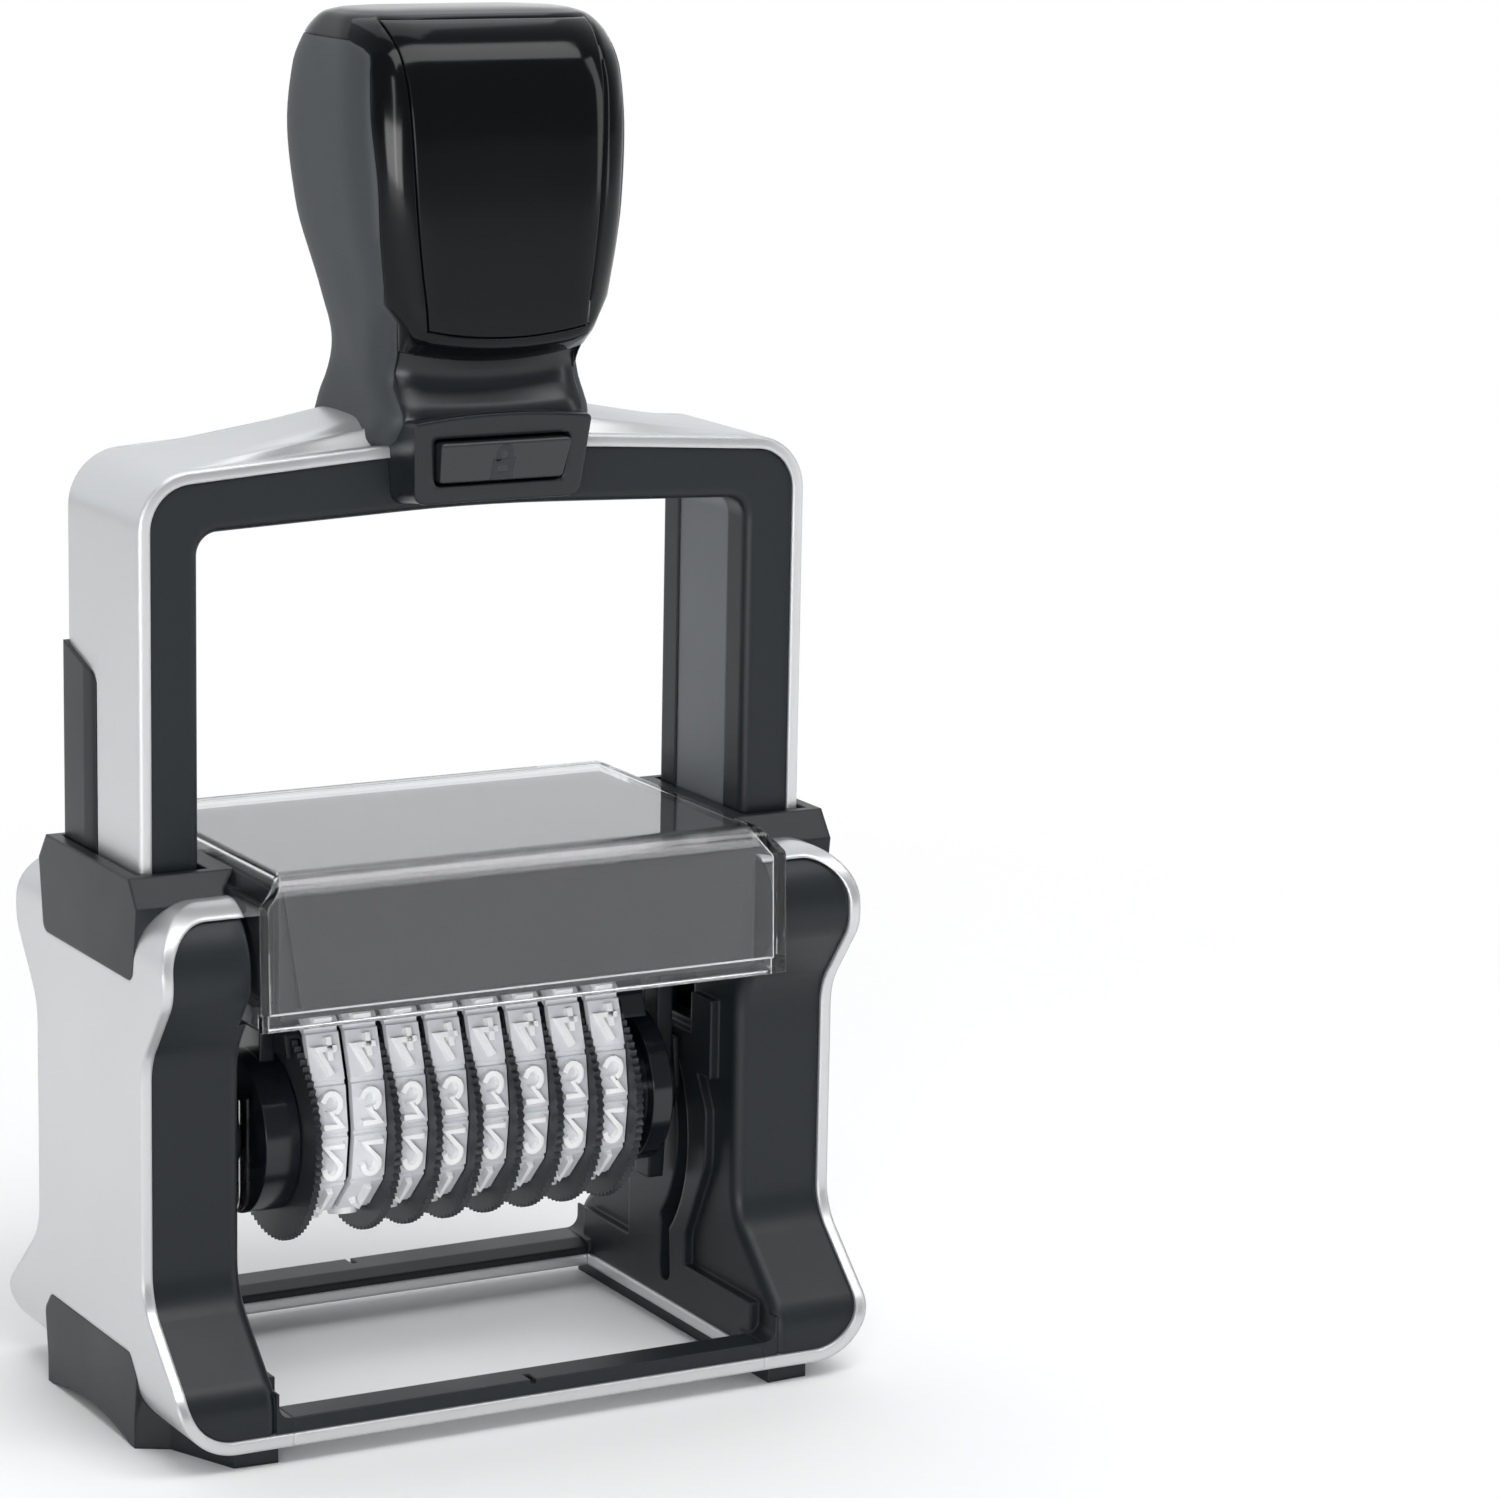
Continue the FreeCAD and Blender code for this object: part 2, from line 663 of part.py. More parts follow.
def build_housing():
    """The fixed housing over the print window, with the channel of the ink cartridge."""
    roof = box("Roof", ("-roof_half_width", "roof_half_width"), ("-roof_front", "card_back + 0.4"),
               ("roof_bottom", "card_top - card_thickness - 0.05"))
    front = box("HousingFront", ("-roof_half_width", "roof_half_width"), ("-roof_front", "-(roof_front - 1.5)"),
                ("window_bottom + 0.6", "roof_bottom"))
    parts = [roof, front]
    for side, sign in (("Right", 1), ("Left", -1)):
        for piece, low, high, along, up in (
            ("Channel", "channel_inner", "channel_outer",
             ("-(roof_front - 1.5)", "card_back + 0.4"), ("channel_bottom", "roof_bottom")),
            ("Ledge", "channel_inner - 1.3", "channel_inner",
             ("-(roof_front - 1.5)", "card_back + 0.4"), ("channel_bottom", "channel_bottom + 0.7")),
            ("EarFront", "roof_half_width - 1", "wall_face", ("-12", "-6"), ("roof_bottom - 2", "roof_bottom")),
            ("EarBack", "roof_half_width - 1", "wall_face", ("6", "12"), ("roof_bottom - 2", "roof_bottom")),
        ):
            across = (low, high) if sign > 0 else (f"-({high})", f"-({low})")
            parts.append(box(f"{piece}{side}", across, along, up))
    sub_part("pad_housing", fuse("PadHousing", *parts))


def cover_solid(name, inset, low_inset):
    """The clear cover's outer or inner form: a side outline crossed with a front outline."""
    lengthwise = prism(f"{name}Side", "YZ", f"-(window_half_width - {inset})", f"window_half_width - {inset}", [
        (f"-(window_front - {inset})", f"window_bottom - {low_inset}"),
        (f"-(window_front_top - {inset})", f"window_top - {inset}", "2.6"),
        (f"window_back - {inset}", f"window_top - {inset}", "1.2"),
        (f"window_back - {inset}", f"window_side_bottom - {low_inset}"),
        (f"-(window_side_back - {inset})", f"window_side_bottom - {low_inset}"),
        (f"-(window_side_back - {inset})", f"window_bottom - {low_inset}"),
    ])
    crosswise = prism(f"{name}Front", "XZ", "-(window_front + 1)", "window_back + 1", mirror_corners([
        (f"window_half_width - {inset}", f"window_bottom - {low_inset}"),
        (f"window_half_width - {inset}", f"window_bevel_foot - {inset} * 0.4", "1"),
        (f"window_top_half - {inset} * 0.4", f"window_top - {inset}", "0.8"),
    ]))
    return common(name, lengthwise, crosswise)


def build_window():
    """Clear clip-on cover and the dark index card under it."""
    shell = cut("CoverShell", cover_solid("CoverOuter", "0", "0"),
                cover_solid("CoverInner", "window_wall", "1"))
    lip = box("CoverLip", ("-(window_half_width - window_wall)", "window_half_width - window_wall"),
              ("-(window_front - window_wall + 0.1)", "-(window_front - window_wall - 0.9)"),
              ("window_bottom", "window_bottom + 1.6"))
    sub_part("clear_cover", fuse("ClearCover", shell, lip))
    top = box("CardTop", ("-card_half_width", "card_half_width"), ("-card_front", "card_back"),
              ("card_top - card_thickness", "card_top"))
    front = prism("CardFront", "XZ", "-card_front", "-(card_front - card_thickness)", [
        ("-card_foot_half", "card_foot"),
        ("card_foot_half", "card_foot"),
        ("card_half_width", "card_top"),
        ("-card_half_width", "card_top"),
    ])
    sub_part("index_card", fuse("IndexCard", top, front))


def build_cartridge():
    """Ink cartridge that slides out at the back, and its pad."""
    tray = box("Tray", ("-cartridge_half_width", "cartridge_half_width"), ("-cartridge_front", "cartridge_back"),
               ("cartridge_bottom", "cartridge_top"))
    grip = prism("TrayGrip", "YZ", "-13", "13", [
        ("cartridge_back - 0.5", "cartridge_bottom + 1.5"),
        ("cartridge_back + 2.4", "cartridge_bottom + 2.6", "0.8"),
        ("cartridge_back + 2.4", "cartridge_bottom + 6", "0.8"),
        ("cartridge_back - 0.5", "cartridge_bottom + 7.4"),
    ])
    room = box("PadRoom", ("-(pad_half_width + 0.1)", "pad_half_width + 0.1"),
               ("-(pad_half_depth + 0.1)", "pad_half_depth + 0.1"), ("cartridge_bottom - 1", "pad_top"))
    sub_part("ink_cartridge", cut("InkCartridge", fuse("TrayWithGrip", tray, grip), room))
    pad = prism("InkPad", "XZ", "-pad_half_depth", "pad_half_depth", [
        ("-pad_half_width", "pad_face", "0.8"),
        ("pad_half_width", "pad_face", "0.8"),
        ("pad_half_width", "pad_top"),
        ("-pad_half_width", "pad_top"),
    ])
    sub_part("ink_pad", pad)


def arch_outline(inset):
    """Right half, bottom to top, of the arch's outer outline drawn in by inset."""
    return [
        (f"arch_half_width - {inset}", "leg_bottom"),
        (f"arch_half_width - {inset}", f"arch_corner_top - {inset}", f"arch_corner_round - {inset}"),
    ]


def arch_band(name, low, high, outer_inset, window_half, window_drop):
    """A whole arch between two Y values: one closed outline round the open window."""
    outer = arch_outline(outer_inset)
    crown = [("0", f"arch_crown - {outer_inset}", "arch_crown_round")]
    outer_left = [(f"-({corner[0]})", *corner[1:]) for corner in reversed(outer)]
    window_left = [
        (f"-({window_half})", "leg_bottom"),
        (f"-({window_half})", f"arch_window_corner + {window_drop}", "arch_window_round"),
    ]
    window_crown = [("0", f"arch_window_crown + {window_drop}", "arch_crown_round")]
    window_right = [(window_half, *corner[1:]) for corner in reversed(window_left)]
    return prism(name, "XZ", low, high, outer + crown + outer_left + window_left + window_crown + window_right)


def ramp_section(body, name, offset, half_base, half_top, base, top):
    sketch = sketch_on(body, "YZ", offset)
    draw_outline(sketch, [
        (f"-({half_base})", base),
        (half_base, base),
        (half_top, top),
        (f"-({half_top})", top),
    ])
    return sketch


def build_ramp():
    """One sculpted ramp from the arch's corner up to the handle."""
    body = document.addObject("PartDesign::Body", "Ramp")
    tall = ramp_section(body, "RampTall", "ramp_inner", "8.6", "4.8", "arch_crown - 2", "ramp_top")
    low = ramp_section(body, "RampLow", "ramp_outer", "1.6", "0.8", "arch_corner_top - 1.5", "arch_corner_top + 0.35")
    loft = body.newObject("PartDesign::AdditiveLoft", "RampLoft")
    loft.Profile = tall
    loft.Sections = [low]
    loft.Ruled = True
    return body


def build_arch():
    """Silver outer shell, black front and back frames and the core between them."""
    shell_outline = (
        arch_outline("0")
        + [("0", "arch_crown", "arch_crown_round")]
        + [(f"-({corner[0]})", *corner[1:]) for corner in reversed(arch_outline("0"))]
        + [("-(arch_half_width - arch_wall)", "leg_bottom"),
           ("-(arch_half_width - arch_wall)", "arch_corner_top - arch_wall", "arch_corner_round - arch_wall"),
           ("0", "arch_crown - arch_wall", "arch_crown_round"),
           ("arch_half_width - arch_wall", "arch_corner_top - arch_wall", "arch_corner_round - arch_wall"),
           ("arch_half_width - arch_wall", "leg_bottom")]
    )
    strip = prism("ArchStrip", "XZ", "-arch_half_depth", "arch_half_depth", shell_outline)
    ramp = build_ramp()
    room = prism("RampRoom", "XZ", "-arch_half_depth", "arch_half_depth",
                 arch_outline("arch_wall") + [("0", "arch_crown - arch_wall", "arch_crown_round")]
                 + [(f"-({corner[0]})", *corner[1:]) for corner in reversed(arch_outline("arch_wall"))])
    ramps = cut("Ramps", fuse("RampPair", ramp, mirrored("RampTwin", ramp, Vector(1, 0, 0))), room)
    screw_ways = handle_screw_bars("ShellScrewWays", "handle_screw_shank", "100", "118")
    shell = sub_part("bridge_shell", cut("BridgeShell", fuse("ShellWithRamps", strip, ramps), screw_ways))

    front = arch_band("FrontBand", "-(arch_half_depth - arch_face_recess)", "-front_frame_back",
                      "arch_wall", "arch_window_half", "0")
    face = number("-(arch_half_depth - arch_face_recess)")
    reach = number("arch_window_half")

    def on_window_edge(edge):
        limits = edge.BoundBox
        flat = abs(limits.YMin - face) < 0.01 and abs(limits.YMax - face) < 0.01
        inside = max(abs(limits.XMin), abs(limits.XMax)) < reach + 0.1
        under_top = limits.ZMax < number("arch_window_crown") + 0.1
        return flat and inside and under_top and limits.DiagonalLength > 1

    rounded = round_edges("FrontRounded", front, "1.2", on_window_edge)
    stem_way = rod("StemWay", "y", "stem_size + 0.1", "-12", "-5", ("0", "stem_height"))
    sub_part("bridge_frame_front", cut("FrontFrame", rounded, stem_way))
    sub_part("bridge_frame_back", arch_band("BackFrame", "back_frame_front",
                                            "arch_half_depth - arch_face_recess",
                                            "arch_wall", "arch_window_half", "0"))
    core = arch_band("CoreBand", "-(front_frame_back - frame_joint_gap)", "back_frame_front - frame_joint_gap",
                     "arch_wall", "arch_window_half + core_recess", "core_recess")
    heads = handle_screw_bars("CoreHeadRooms", "handle_screw_head + 0.2", "100", "handle_screw_head_top")
    ways = handle_screw_bars("CoreScrewWays", "handle_screw_shank", "106", "118")
    sub_part("bridge_core", cut("BridgeCore", core, heads, ways))
    return shell


def handle_screw_bars(name, radius, low, high):
    return fuse(name, *[
        rod(f"{name}{side}", "z", radius, low, high, (f"{sign}handle_screw_across", "1"))
        for side, sign in (("Right", ""), ("Left", "-"))
    ])


def build_leg_trims():
    """Black inlays on the outer faces of the legs, wrapped round their back edge."""
    plan = prism("TrimPlan", "XY", "leg_bottom", "trim_top_back + 1", [
        ("arch_half_width", "trim_front"),
        ("trim_face", "trim_bevel"),
        ("trim_face", "trim_back"),
        ("trim_return", "trim_back"),
        ("trim_return", "arch_half_depth"),
        ("arch_half_width", "arch_half_depth"),
    ])
    outline = prism("TrimOutline", "YZ", "trim_return - 1", "trim_face + 1", [
        ("trim_front - 0.5", "leg_bottom - 1"),
        ("trim_back + 0.5", "leg_bottom - 1"),
        ("trim_back + 0.5", "trim_top_back"),
        ("trim_front - 0.5", "trim_top_front", "3"),
    ])
    twin_sub_parts("leg_trim", common("LegTrim", plan, outline))


def build_arms():
    """Arms that hang from the legs and carry the turning unit."""
    across = ("arm_inner", "arm_outer")
    blade = box("ArmBlade", across, ("-arm_half_depth", "arm_half_depth"), ("pivot_height", "arm_top"))
    boss = rod("ArmBoss", "x", "arm_boss", *across, ("0", "pivot_height"))
    tongue = prism("ArmTongue", "YZ", *across, [
        ("-(arm_tongue_half - 0.6)", "arm_tongue_bottom"),
        ("arm_tongue_half - 0.6", "arm_tongue_bottom"),
        ("arm_tongue_half + 0.6", "pivot_height"),
        ("-(arm_tongue_half + 0.6)", "pivot_height"),
    ])
    lug = box("ArmLug", ("arm_outer - 0.5", "arch_window_half + core_recess"),
              ("-lug_half_depth", "lug_half_depth"), ("lug_bottom", "arm_top"))
    hole = rod("ArmHole", "x", "trunnion_size + running_gap", "arm_inner - 1", "arm_outer + 1",
               ("0", "pivot_height"))
    twin_sub_parts("arm", cut("Arm", fuse("ArmSolid", blade, boss, tongue, lug), hole))


def handle_section(body, height, half_width, front, back, radius):
    """One level of the handle: a rounded rectangle."""
    sketch = sketch_on(body, "XY", height)
    draw_outline(sketch, [
        (f"-({half_width})", f"-({front})", radius),
        (half_width, f"-({front})", radius),
        (half_width, back, radius),
        (f"-({half_width})", back, radius),
    ])
    return sketch


def build_handle_solid():
    """The whole outside of the handle, lofted from its foot to its crown."""
    body = document.addObject("PartDesign::Body", "HandleSolid")
    levels = [
        ("110.5", "14.2", "9.2", "10.4", "4"),
        ("115", "13.1", "14.2", "10.0", "4.5"),
        ("119", "12.9", "11.8", "7.9", "5"),
        ("123.5", "13.7", "14.3", "5.8", "5.5"),
        ("128", "14.8", "16.9", "7.0", "6.5"),
        ("138", "16.5", "17.4", "11.2", "7.5"),
        ("147", "17.1", "17.2", "12.6", "8"),
        ("153", "16.9", "16.3", "11.5", "7.8"),
        ("157", "16.2", "13.9", "8.8", "7"),
        ("159.3", "14.8", "9.6", "5.4", "5.5"),
        ("160", "13.4", "7.2", "3.4", "4.5"),
    ]
    sections = [handle_section(body, *level) for level in levels]
    loft = body.newObject("PartDesign::AdditiveLoft", "HandleLoft")
    loft.Profile = sections[0]
    loft.Sections = sections[1:]
    return body


def build_handle(shell):
    """Grip, glossy cap, badge plate, button bracket and the screws up into the grip."""
    solid = build_handle_solid()
    cap_room = prism("CapRoom", "YZ", "-25", "25", [
        ("-25", "121.2"),
        ("-12.6", "123.6"),
        ("-cap_depth", "126"),
        ("-(cap_depth - 0.6)", "cap_bottom", "4"),
        ("6", "cap_bottom - 0.6"),
        ("6.6", "161"),
        ("6.6", "170"),
        ("-25", "170"),
    ])
    badge_room = badge_outline("BadgeRoom", "0")
    badge_gap = badge_outline("BadgeGapRoom", "badge_gap")
    depth_room = prism("BadgeDepth", "YZ", "-20", "20", [
        ("-25", "120"),
        ("-badge_back", "120"),
        ("-badge_back", "151.5", "6"),
        ("-11.6", "156.2", "4"),
        ("-8.6", "157.2"),
        ("-8.6", "170"),
        ("-25", "170"),
    ])
    cap = common("CapWhole", solid, cap_room)
    plate = common("BadgePlate", solid, badge_room, depth_room)
    groove = common("BadgeGroove", badge_gap, depth_room)
    neck_room = box("NeckRoom", ("-neck_panel_half", "neck_panel_half"), ("-25", "-neck_panel_back"),
                    ("bracket_bottom - 2", "129"))
    neck_front = cut("NeckFront", common("NeckPiece", solid, neck_room), cap_room)
    bracket = common("Bracket", prism("BracketFace", "XZ", "-20", "-arch_half_depth", mirror_corners([
        ("bracket_half_width - 1.2", "bracket_bottom", "1.6"),
        ("bracket_half_width", "bracket_bottom + 3.4"),
        ("bracket_half_width - 0.5", "bracket_top"),
    ])), prism("BracketSide", "YZ", "-20", "20", [
        ("-arch_half_depth", "bracket_bottom - 1"),
        ("-(arch_half_depth + 1.2)", "bracket_bottom - 0.2"),
        ("-bracket_face_bottom", "bracket_bottom + 2.2", "1.5"),
        ("-bracket_face_top", "bracket_top"),
        ("-arch_half_depth", "bracket_top + 0.2"),
    ]))
    pocket = box("ButtonPocket", ("-(button_half_width + button_gap)", "button_half_width + button_gap"),
                 ("-20", "-(button_back - button_travel - 0.3)"),
                 ("button_bottom - button_gap", "button_top + button_gap"))
    stem_way = rod("BracketStemWay", "y", "stem_size + 0.1", "-14", "-5", ("0", "stem_height"))
    front_piece = fuse("BracketWithNeck", bracket, neck_front)
    sub_part("button_housing", cut("ButtonHousing", front_piece, pocket, stem_way, shell,
                                  arch_fill("HousingFill", "-arch_half_depth")))
    screws = handle_screw_bars("GripScrewWays", "handle_screw_shank", "100", "handle_screw_tip")
    grip_block = cut("GripBlock", solid, cap_room, neck_room)
    sub_part("handle_grip", cut("HandleGrip", grip_block, arch_fill("GripFill", "-20"), shell, screws))
    sub_part("handle_cap", cut("HandleCap", cap, groove))
    sub_part("badge_plate", plate)
    heads = handle_screw_bars("HandleScrewHeads", "handle_screw_head", "105.2", "handle_screw_head_top")
    shanks = handle_screw_bars("HandleScrewShanks", "handle_screw_shank", "handle_screw_head_top",
                               "handle_screw_tip")
    sub_part("handle_screws", fuse("HandleScrews", heads, shanks))
    face = prism("ButtonFace", "YZ", "-button_half_width", "button_half_width", [
        ("-button_back", "button_bottom"),
        ("-button_face_bottom", "button_bottom", "0.4"),
        ("-button_face_top", "button_top", "0.4"),
        ("-button_back", "button_top"),
    ])
    outline = prism("ButtonOutline", "XZ", "-20", "-10", mirror_corners([
        ("button_half_width - 0.5", "button_bottom", "0.5"),
        ("button_half_width", "button_top", "0.5"),
    ]))
    stem = rod("ButtonStem", "y", "stem_size", "-(button_back + 0.5)", "-stem_tip", ("0", "stem_height"))
    sub_part("lock_button", fuse("LockButton", common("ButtonHead", face, outline), stem))


def arch_fill(name, front):
    """The space of the arch's top bar under the handle, from a front depth backwards."""
    return prism(name, "XZ", front, "arch_half_depth + 3", [
        ("-20", "100"),
        ("20", "100"),
        ("20", "arch_corner_top + 1.45"),
        ("0", "arch_crown", "arch_crown_round"),
        ("-20", "arch_corner_top + 1.45"),
    ])


def badge_outline(name, gap):
    """The badge plate seen from the front: tapered, with a bowed lower edge."""
    return prism(name, "XZ", "-25", "-8", mirror_corners([
        (f"6 + {gap} * 0.5", f"124.6 - {gap}", "20"),
        (f"9.9 + {gap}", f"125.7 - {gap}", "0.8"),
        (f"11.2 + {gap}", "137.5", "60"),
        (f"13.1 + {gap}", f"162 + {gap}"),
    ]))


def build_carrier():
    """The turning unit's ends, print bar, wheel shaft, cranks and clips."""
    centre = ("0", "pivot_height")
    left_drum = rod("LeftDrum", "x", "carrier_size", "-carrier_end", "-left_carrier_inner", centre)
    left_upright = box("LeftUpright", ("-(left_carrier_inner + 0.7 + upright_thickness)",
                                       "-(left_carrier_inner + 0.7)"),
                       ("-upright_half", "upright_half"), ("pivot_height", "upright_top"))
    right_drum = rod("RightDrum", "x", "carrier_size", "right_carrier_inner", "carrier_end", centre)
    ribbed = rod("RibbedDrum", "x", "ribbed_drum_size", "ribbed_drum_inner", "right_carrier_inner + 0.5", centre)
    right_upright = box("RightUpright", ("right_carrier_inner + 0.1",
                                         "right_carrier_inner + 0.1 + upright_thickness"),
                        ("-upright_half", "upright_half"), ("pivot_height", "upright_top"))
    for side, sign, solids in (("right", 1, (right_drum, ribbed, right_upright)),
                               ("left", -1, (left_drum, left_upright))):
        trunnion_span = ("trunnion_root", "carrier_end + 1")
        shaft_span = ("ribbed_drum_inner - 1", "trunnion_root")
        if sign < 0:
            trunnion_span = ("-(carrier_end + 1)", "-trunnion_root")
            shaft_span = ("-trunnion_root", "-(left_carrier_inner - 1)")
        trunnion_hole = rod(f"TrunnionHole{side}", "x", "trunnion_size", *trunnion_span, centre)
        shaft_hole = rod(f"ShaftHole{side}", "x", "shaft_size", *shaft_span, centre)
        solid = fuse(f"CarrierSolid{side}", *solids)
        sub_part(f"carrier_{side}", cut(f"Carrier{side}", solid, trunnion_hole, shaft_hole))
    sub_part("wheel_shaft", rod("WheelShaft", "x", "shaft_size", "-shaft_end", "shaft_end", centre))

    bar = prism("PrintBarBlock", "YZ", "-(left_carrier_inner + 0.7)", "right_carrier_inner + 0.1", mirror_corners([
        ("7.1", "41.4"),
        ("6.3", "44"),
        ("2.3", "print_facet_top - band_thickness - 0.1"),
    ]))
    slots = []
    for index in range(1, WHEEL_COUNT + 1):
        middle = wheel_place(index)
        half = "(wheel_thickness / 2 + 0.25)"
        slots.append(rod(f"WheelSlot{index}", "x", "wheel_size + 0.3", f"{middle} - {half}", f"{middle} + {half}",
                         centre))
    sub_part("print_bar", cut("PrintBar", bar, *slots))

    trunnion = rod("Trunnion", "x", "trunnion_size", "trunnion_root", "crank_inner + 0.2", centre)
    plate = prism("CrankPlate", "YZ", "crank_inner", "crank_outer", mirror_corners([
        ("2.4", "pivot_height - 3.3"),
        ("3.7", "pivot_height - 0.4"),
        ("3.2", "pivot_height + pin_offset + 1.7"),
    ]))
    pin = rod("CrankPin", "x", "pin_size", "crank_inner", "pin_tip", ("0", "pivot_height + pin_offset"))
    twin_sub_parts("flip_crank", fuse("FlipCrank", trunnion, plate, pin))
    build_clips()


def build_clips():
    """A U-shaped wire clip over each trunnion."""
    plane, gap = number("clip_plane"), number("clip_half_gap")
    top, bend, wire_size = number("clip_top"), number("clip_bend"), number("clip_wire")
    solids = []
    for side in (1, -1):
        corners = [Vector(side * plane, -gap, top), Vector(side * plane, -gap, bend),
                   Vector(side * plane, 0, bend - gap), Vector(side * plane, gap, bend),
                   Vector(side * plane, gap, top)]
        path = Part.Wire([
            Part.LineSegment(corners[0], corners[1]).toShape(),
            Part.Arc(corners[1], corners[2], corners[3]).toShape(),
            Part.LineSegment(corners[3], corners[4]).toShape(),
        ])
        section = Part.Wire(Part.Circle(corners[0], Vector(0, 0, 1), wire_size).toShape())
        solids.append(path.makePipeShell([section], True, False))
    item = document.addObject("Part::Feature", "RetainingClips")
    item.Shape = Part.makeCompound(solids)
    sub_part("retaining_clips", item)


def wheel_place(index):
    """X of a setting wheel. The first stands alone, the others follow the band pitch."""
    if index == 1:
        return "first_wheel"
    return f"(last_wheel - {WHEEL_COUNT - index} * band_pitch)"


def band_place(index):
    """X of a band's middle. Bands stand beside the wheel that drives them."""
    if index == 1:
        return "(first_wheel + wheel_thickness / 2 + 0.1 + band_width / 2)"
    return f"({wheel_place(index)} - wheel_thickness / 2 - 0.1 - band_width / 2)"


def toothed_disc(name, middle):
    """A thin disc with a fine saw-toothed rim."""
    tip, root = number("wheel_size"), number("wheel_size - tooth_depth")
    half = number("wheel_thickness / 2")
    low = number(middle) - half
    height = number("pivot_height")
    points = []
    for step in range(2 * TOOTH_COUNT):
        radius = tip if step % 2 else root
        angle = math.pi * step / TOOTH_COUNT
        points.append(Vector(low, radius * math.sin(angle), height + radius * math.cos(angle)))
    face = Part.Face(Part.makePolygon(points + points[:1]))
    item = document.addObject("Part::Feature", name)
    item.Shape = face.extrude(Vector(2 * half, 0, 0))
    return item


def band_loop():
    """Corners of a band's outside: thirteen flat facets, symmetric about the middle."""
    half = [
        ("0", "21"),
        ("5.9", "22.4"),
        ("10.1", "26.8"),
        ("10.9", "32.8"),
        ("10", "38.8"),
        ("7.9", "44.6"),
        ("print_facet_half", "print_facet_top"),
    ]
    return half + [(f"-({across})", up) for across, up in reversed(half[1:])]


def drawn_in(corners, distance):
    """A convex outline moved inwards by a distance, as plain numbers."""
    points = [Vector(number(across), number(up), 0) for across, up in corners]
    count = len(points)
    moved = []
    for index in range(count):
        before = (points[index] - points[index - 1]).normalize()
        after = (points[(index + 1) % count] - points[index]).normalize()
        first, second = Vector(-before.y, before.x, 0), Vector(-after.y, after.x, 0)
        shift = (first + second) * (distance / (1 + first * second))
        moved.append((str(points[index].x + shift.x), str(points[index].y + shift.y)))
    return moved


def build_numbers():
    """Eight setting wheels with drums, and the eight number bands they drive."""
    centre = ("0", "pivot_height")
    for index in range(1, WHEEL_COUNT + 1):
        middle, band = wheel_place(index), band_place(index)
        low, high = f"{band} - band_width / 2", f"{band} + band_width / 2"
        disc = toothed_disc(f"Disc{index}", middle)
        ends = (middle, high) if index == 1 else (low, middle)
        drum = rod(f"Drum{index}", "x", "drum_size", *ends, centre)
        bore = rod(f"WheelBore{index}", "x", "shaft_size + running_gap", f"{low} - 2", f"{high} + 2", centre)
        sub_part(f"wheel_{index}", cut(f"Wheel{index}", fuse(f"WheelSolid{index}", disc, drum), bore))
        outer = prism(f"BandOuter{index}", "YZ", low, high, band_loop())
        inner = prism(f"BandInner{index}", "YZ", f"{low} - 1", f"{high} + 1",
                      drawn_in(band_loop(), number("band_thickness")))
        sub_part(f"band_{index}", cut(f"Band{index}", outer, inner))


def build_springs():
    """Coil springs in the sides that push the arch back up."""
    for side, sign in (("right", ""), ("left", "-")):
        body = document.addObject("PartDesign::Body", f"Spring{side}")
        sketch = body.newObject("Sketcher::SketchObject", f"Spring{side}Wire")
        sketch.AttachmentSupport = [(origin_feature(body, "XZ_Plane"), "")]
        sketch.MapMode = "FlatFace"
        sketch.addGeometry(Part.Circle(Vector(number("spring_coil"), 0, 0), Vector(0, 0, 1),
                                       number("spring_wire")), False)
        for kind, text in (("DistanceX", "spring_coil"), ("DistanceY", "0")):
            if text == "0":
                sketch.addConstraint(Sketcher.Constraint("PointOnObject", 0, 3, -1))
                continue
            place = sketch.addConstraint(Sketcher.Constraint(kind, -1, 1, 0, 3, number(text)))
            sketch.setExpression(f"Constraints[{place}]", formula(text))
        size = sketch.addConstraint(Sketcher.Constraint("Radius", 0, number("spring_wire")))
        sketch.setExpression(f"Constraints[{size}]", formula("spring_wire"))
        coil = body.newObject("PartDesign::AdditiveHelix", f"Spring{side}Coil")
        coil.Profile = sketch
        coil.ReferenceAxis = (origin_feature(body, "Z_Axis"), [""])
        coil.Mode = 2
        bind(coil, Height="spring_top - spring_bottom", Turns="spring_turns")
        body.setExpression("Placement.Base.x", formula(f"{sign}spring_across"))
        body.setExpression("Placement.Base.z", formula("spring_bottom"))
        sub_part(f"return_spring_{side}", body)


build_side_covers()
build_side_frames()
build_base()
build_feet()
build_collars()
build_housing()
build_window()
build_cartridge()
arch_shell = build_arch()
build_leg_trims()
build_arms()
build_handle(arch_shell)
build_carrier()
build_numbers()
build_springs()
document.recompute()

for item in document.Objects:
    faults = {"Invalid", "Error"} & set(item.State)
    if faults:
        raise RuntimeError(f"{item.Name} is {sorted(faults)}")
for item in SUB_PARTS:
    if item.Shape.isNull() or not item.Shape.isValid():
        raise RuntimeError(f"{item.Label} has no valid shape")

os.makedirs("parts", exist_ok=True)
for item in SUB_PARTS:
    item.Shape.exportStep(f"parts/{item.Label}.step")
    limits = item.Shape.BoundBox
    print(f"{item.Label:22s} solids {len(item.Shape.Solids)} volume {item.Shape.Volume:9.1f} "
          f"X {limits.XMin:7.2f} {limits.XMax:7.2f} Y {limits.YMin:7.2f} {limits.YMax:7.2f} "
          f"Z {limits.ZMin:7.2f} {limits.ZMax:7.2f}")
print(len(SUB_PARTS), "sub-parts")
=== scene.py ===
import json
import math

import bmesh
import bpy
from mathutils import Matrix, Vector


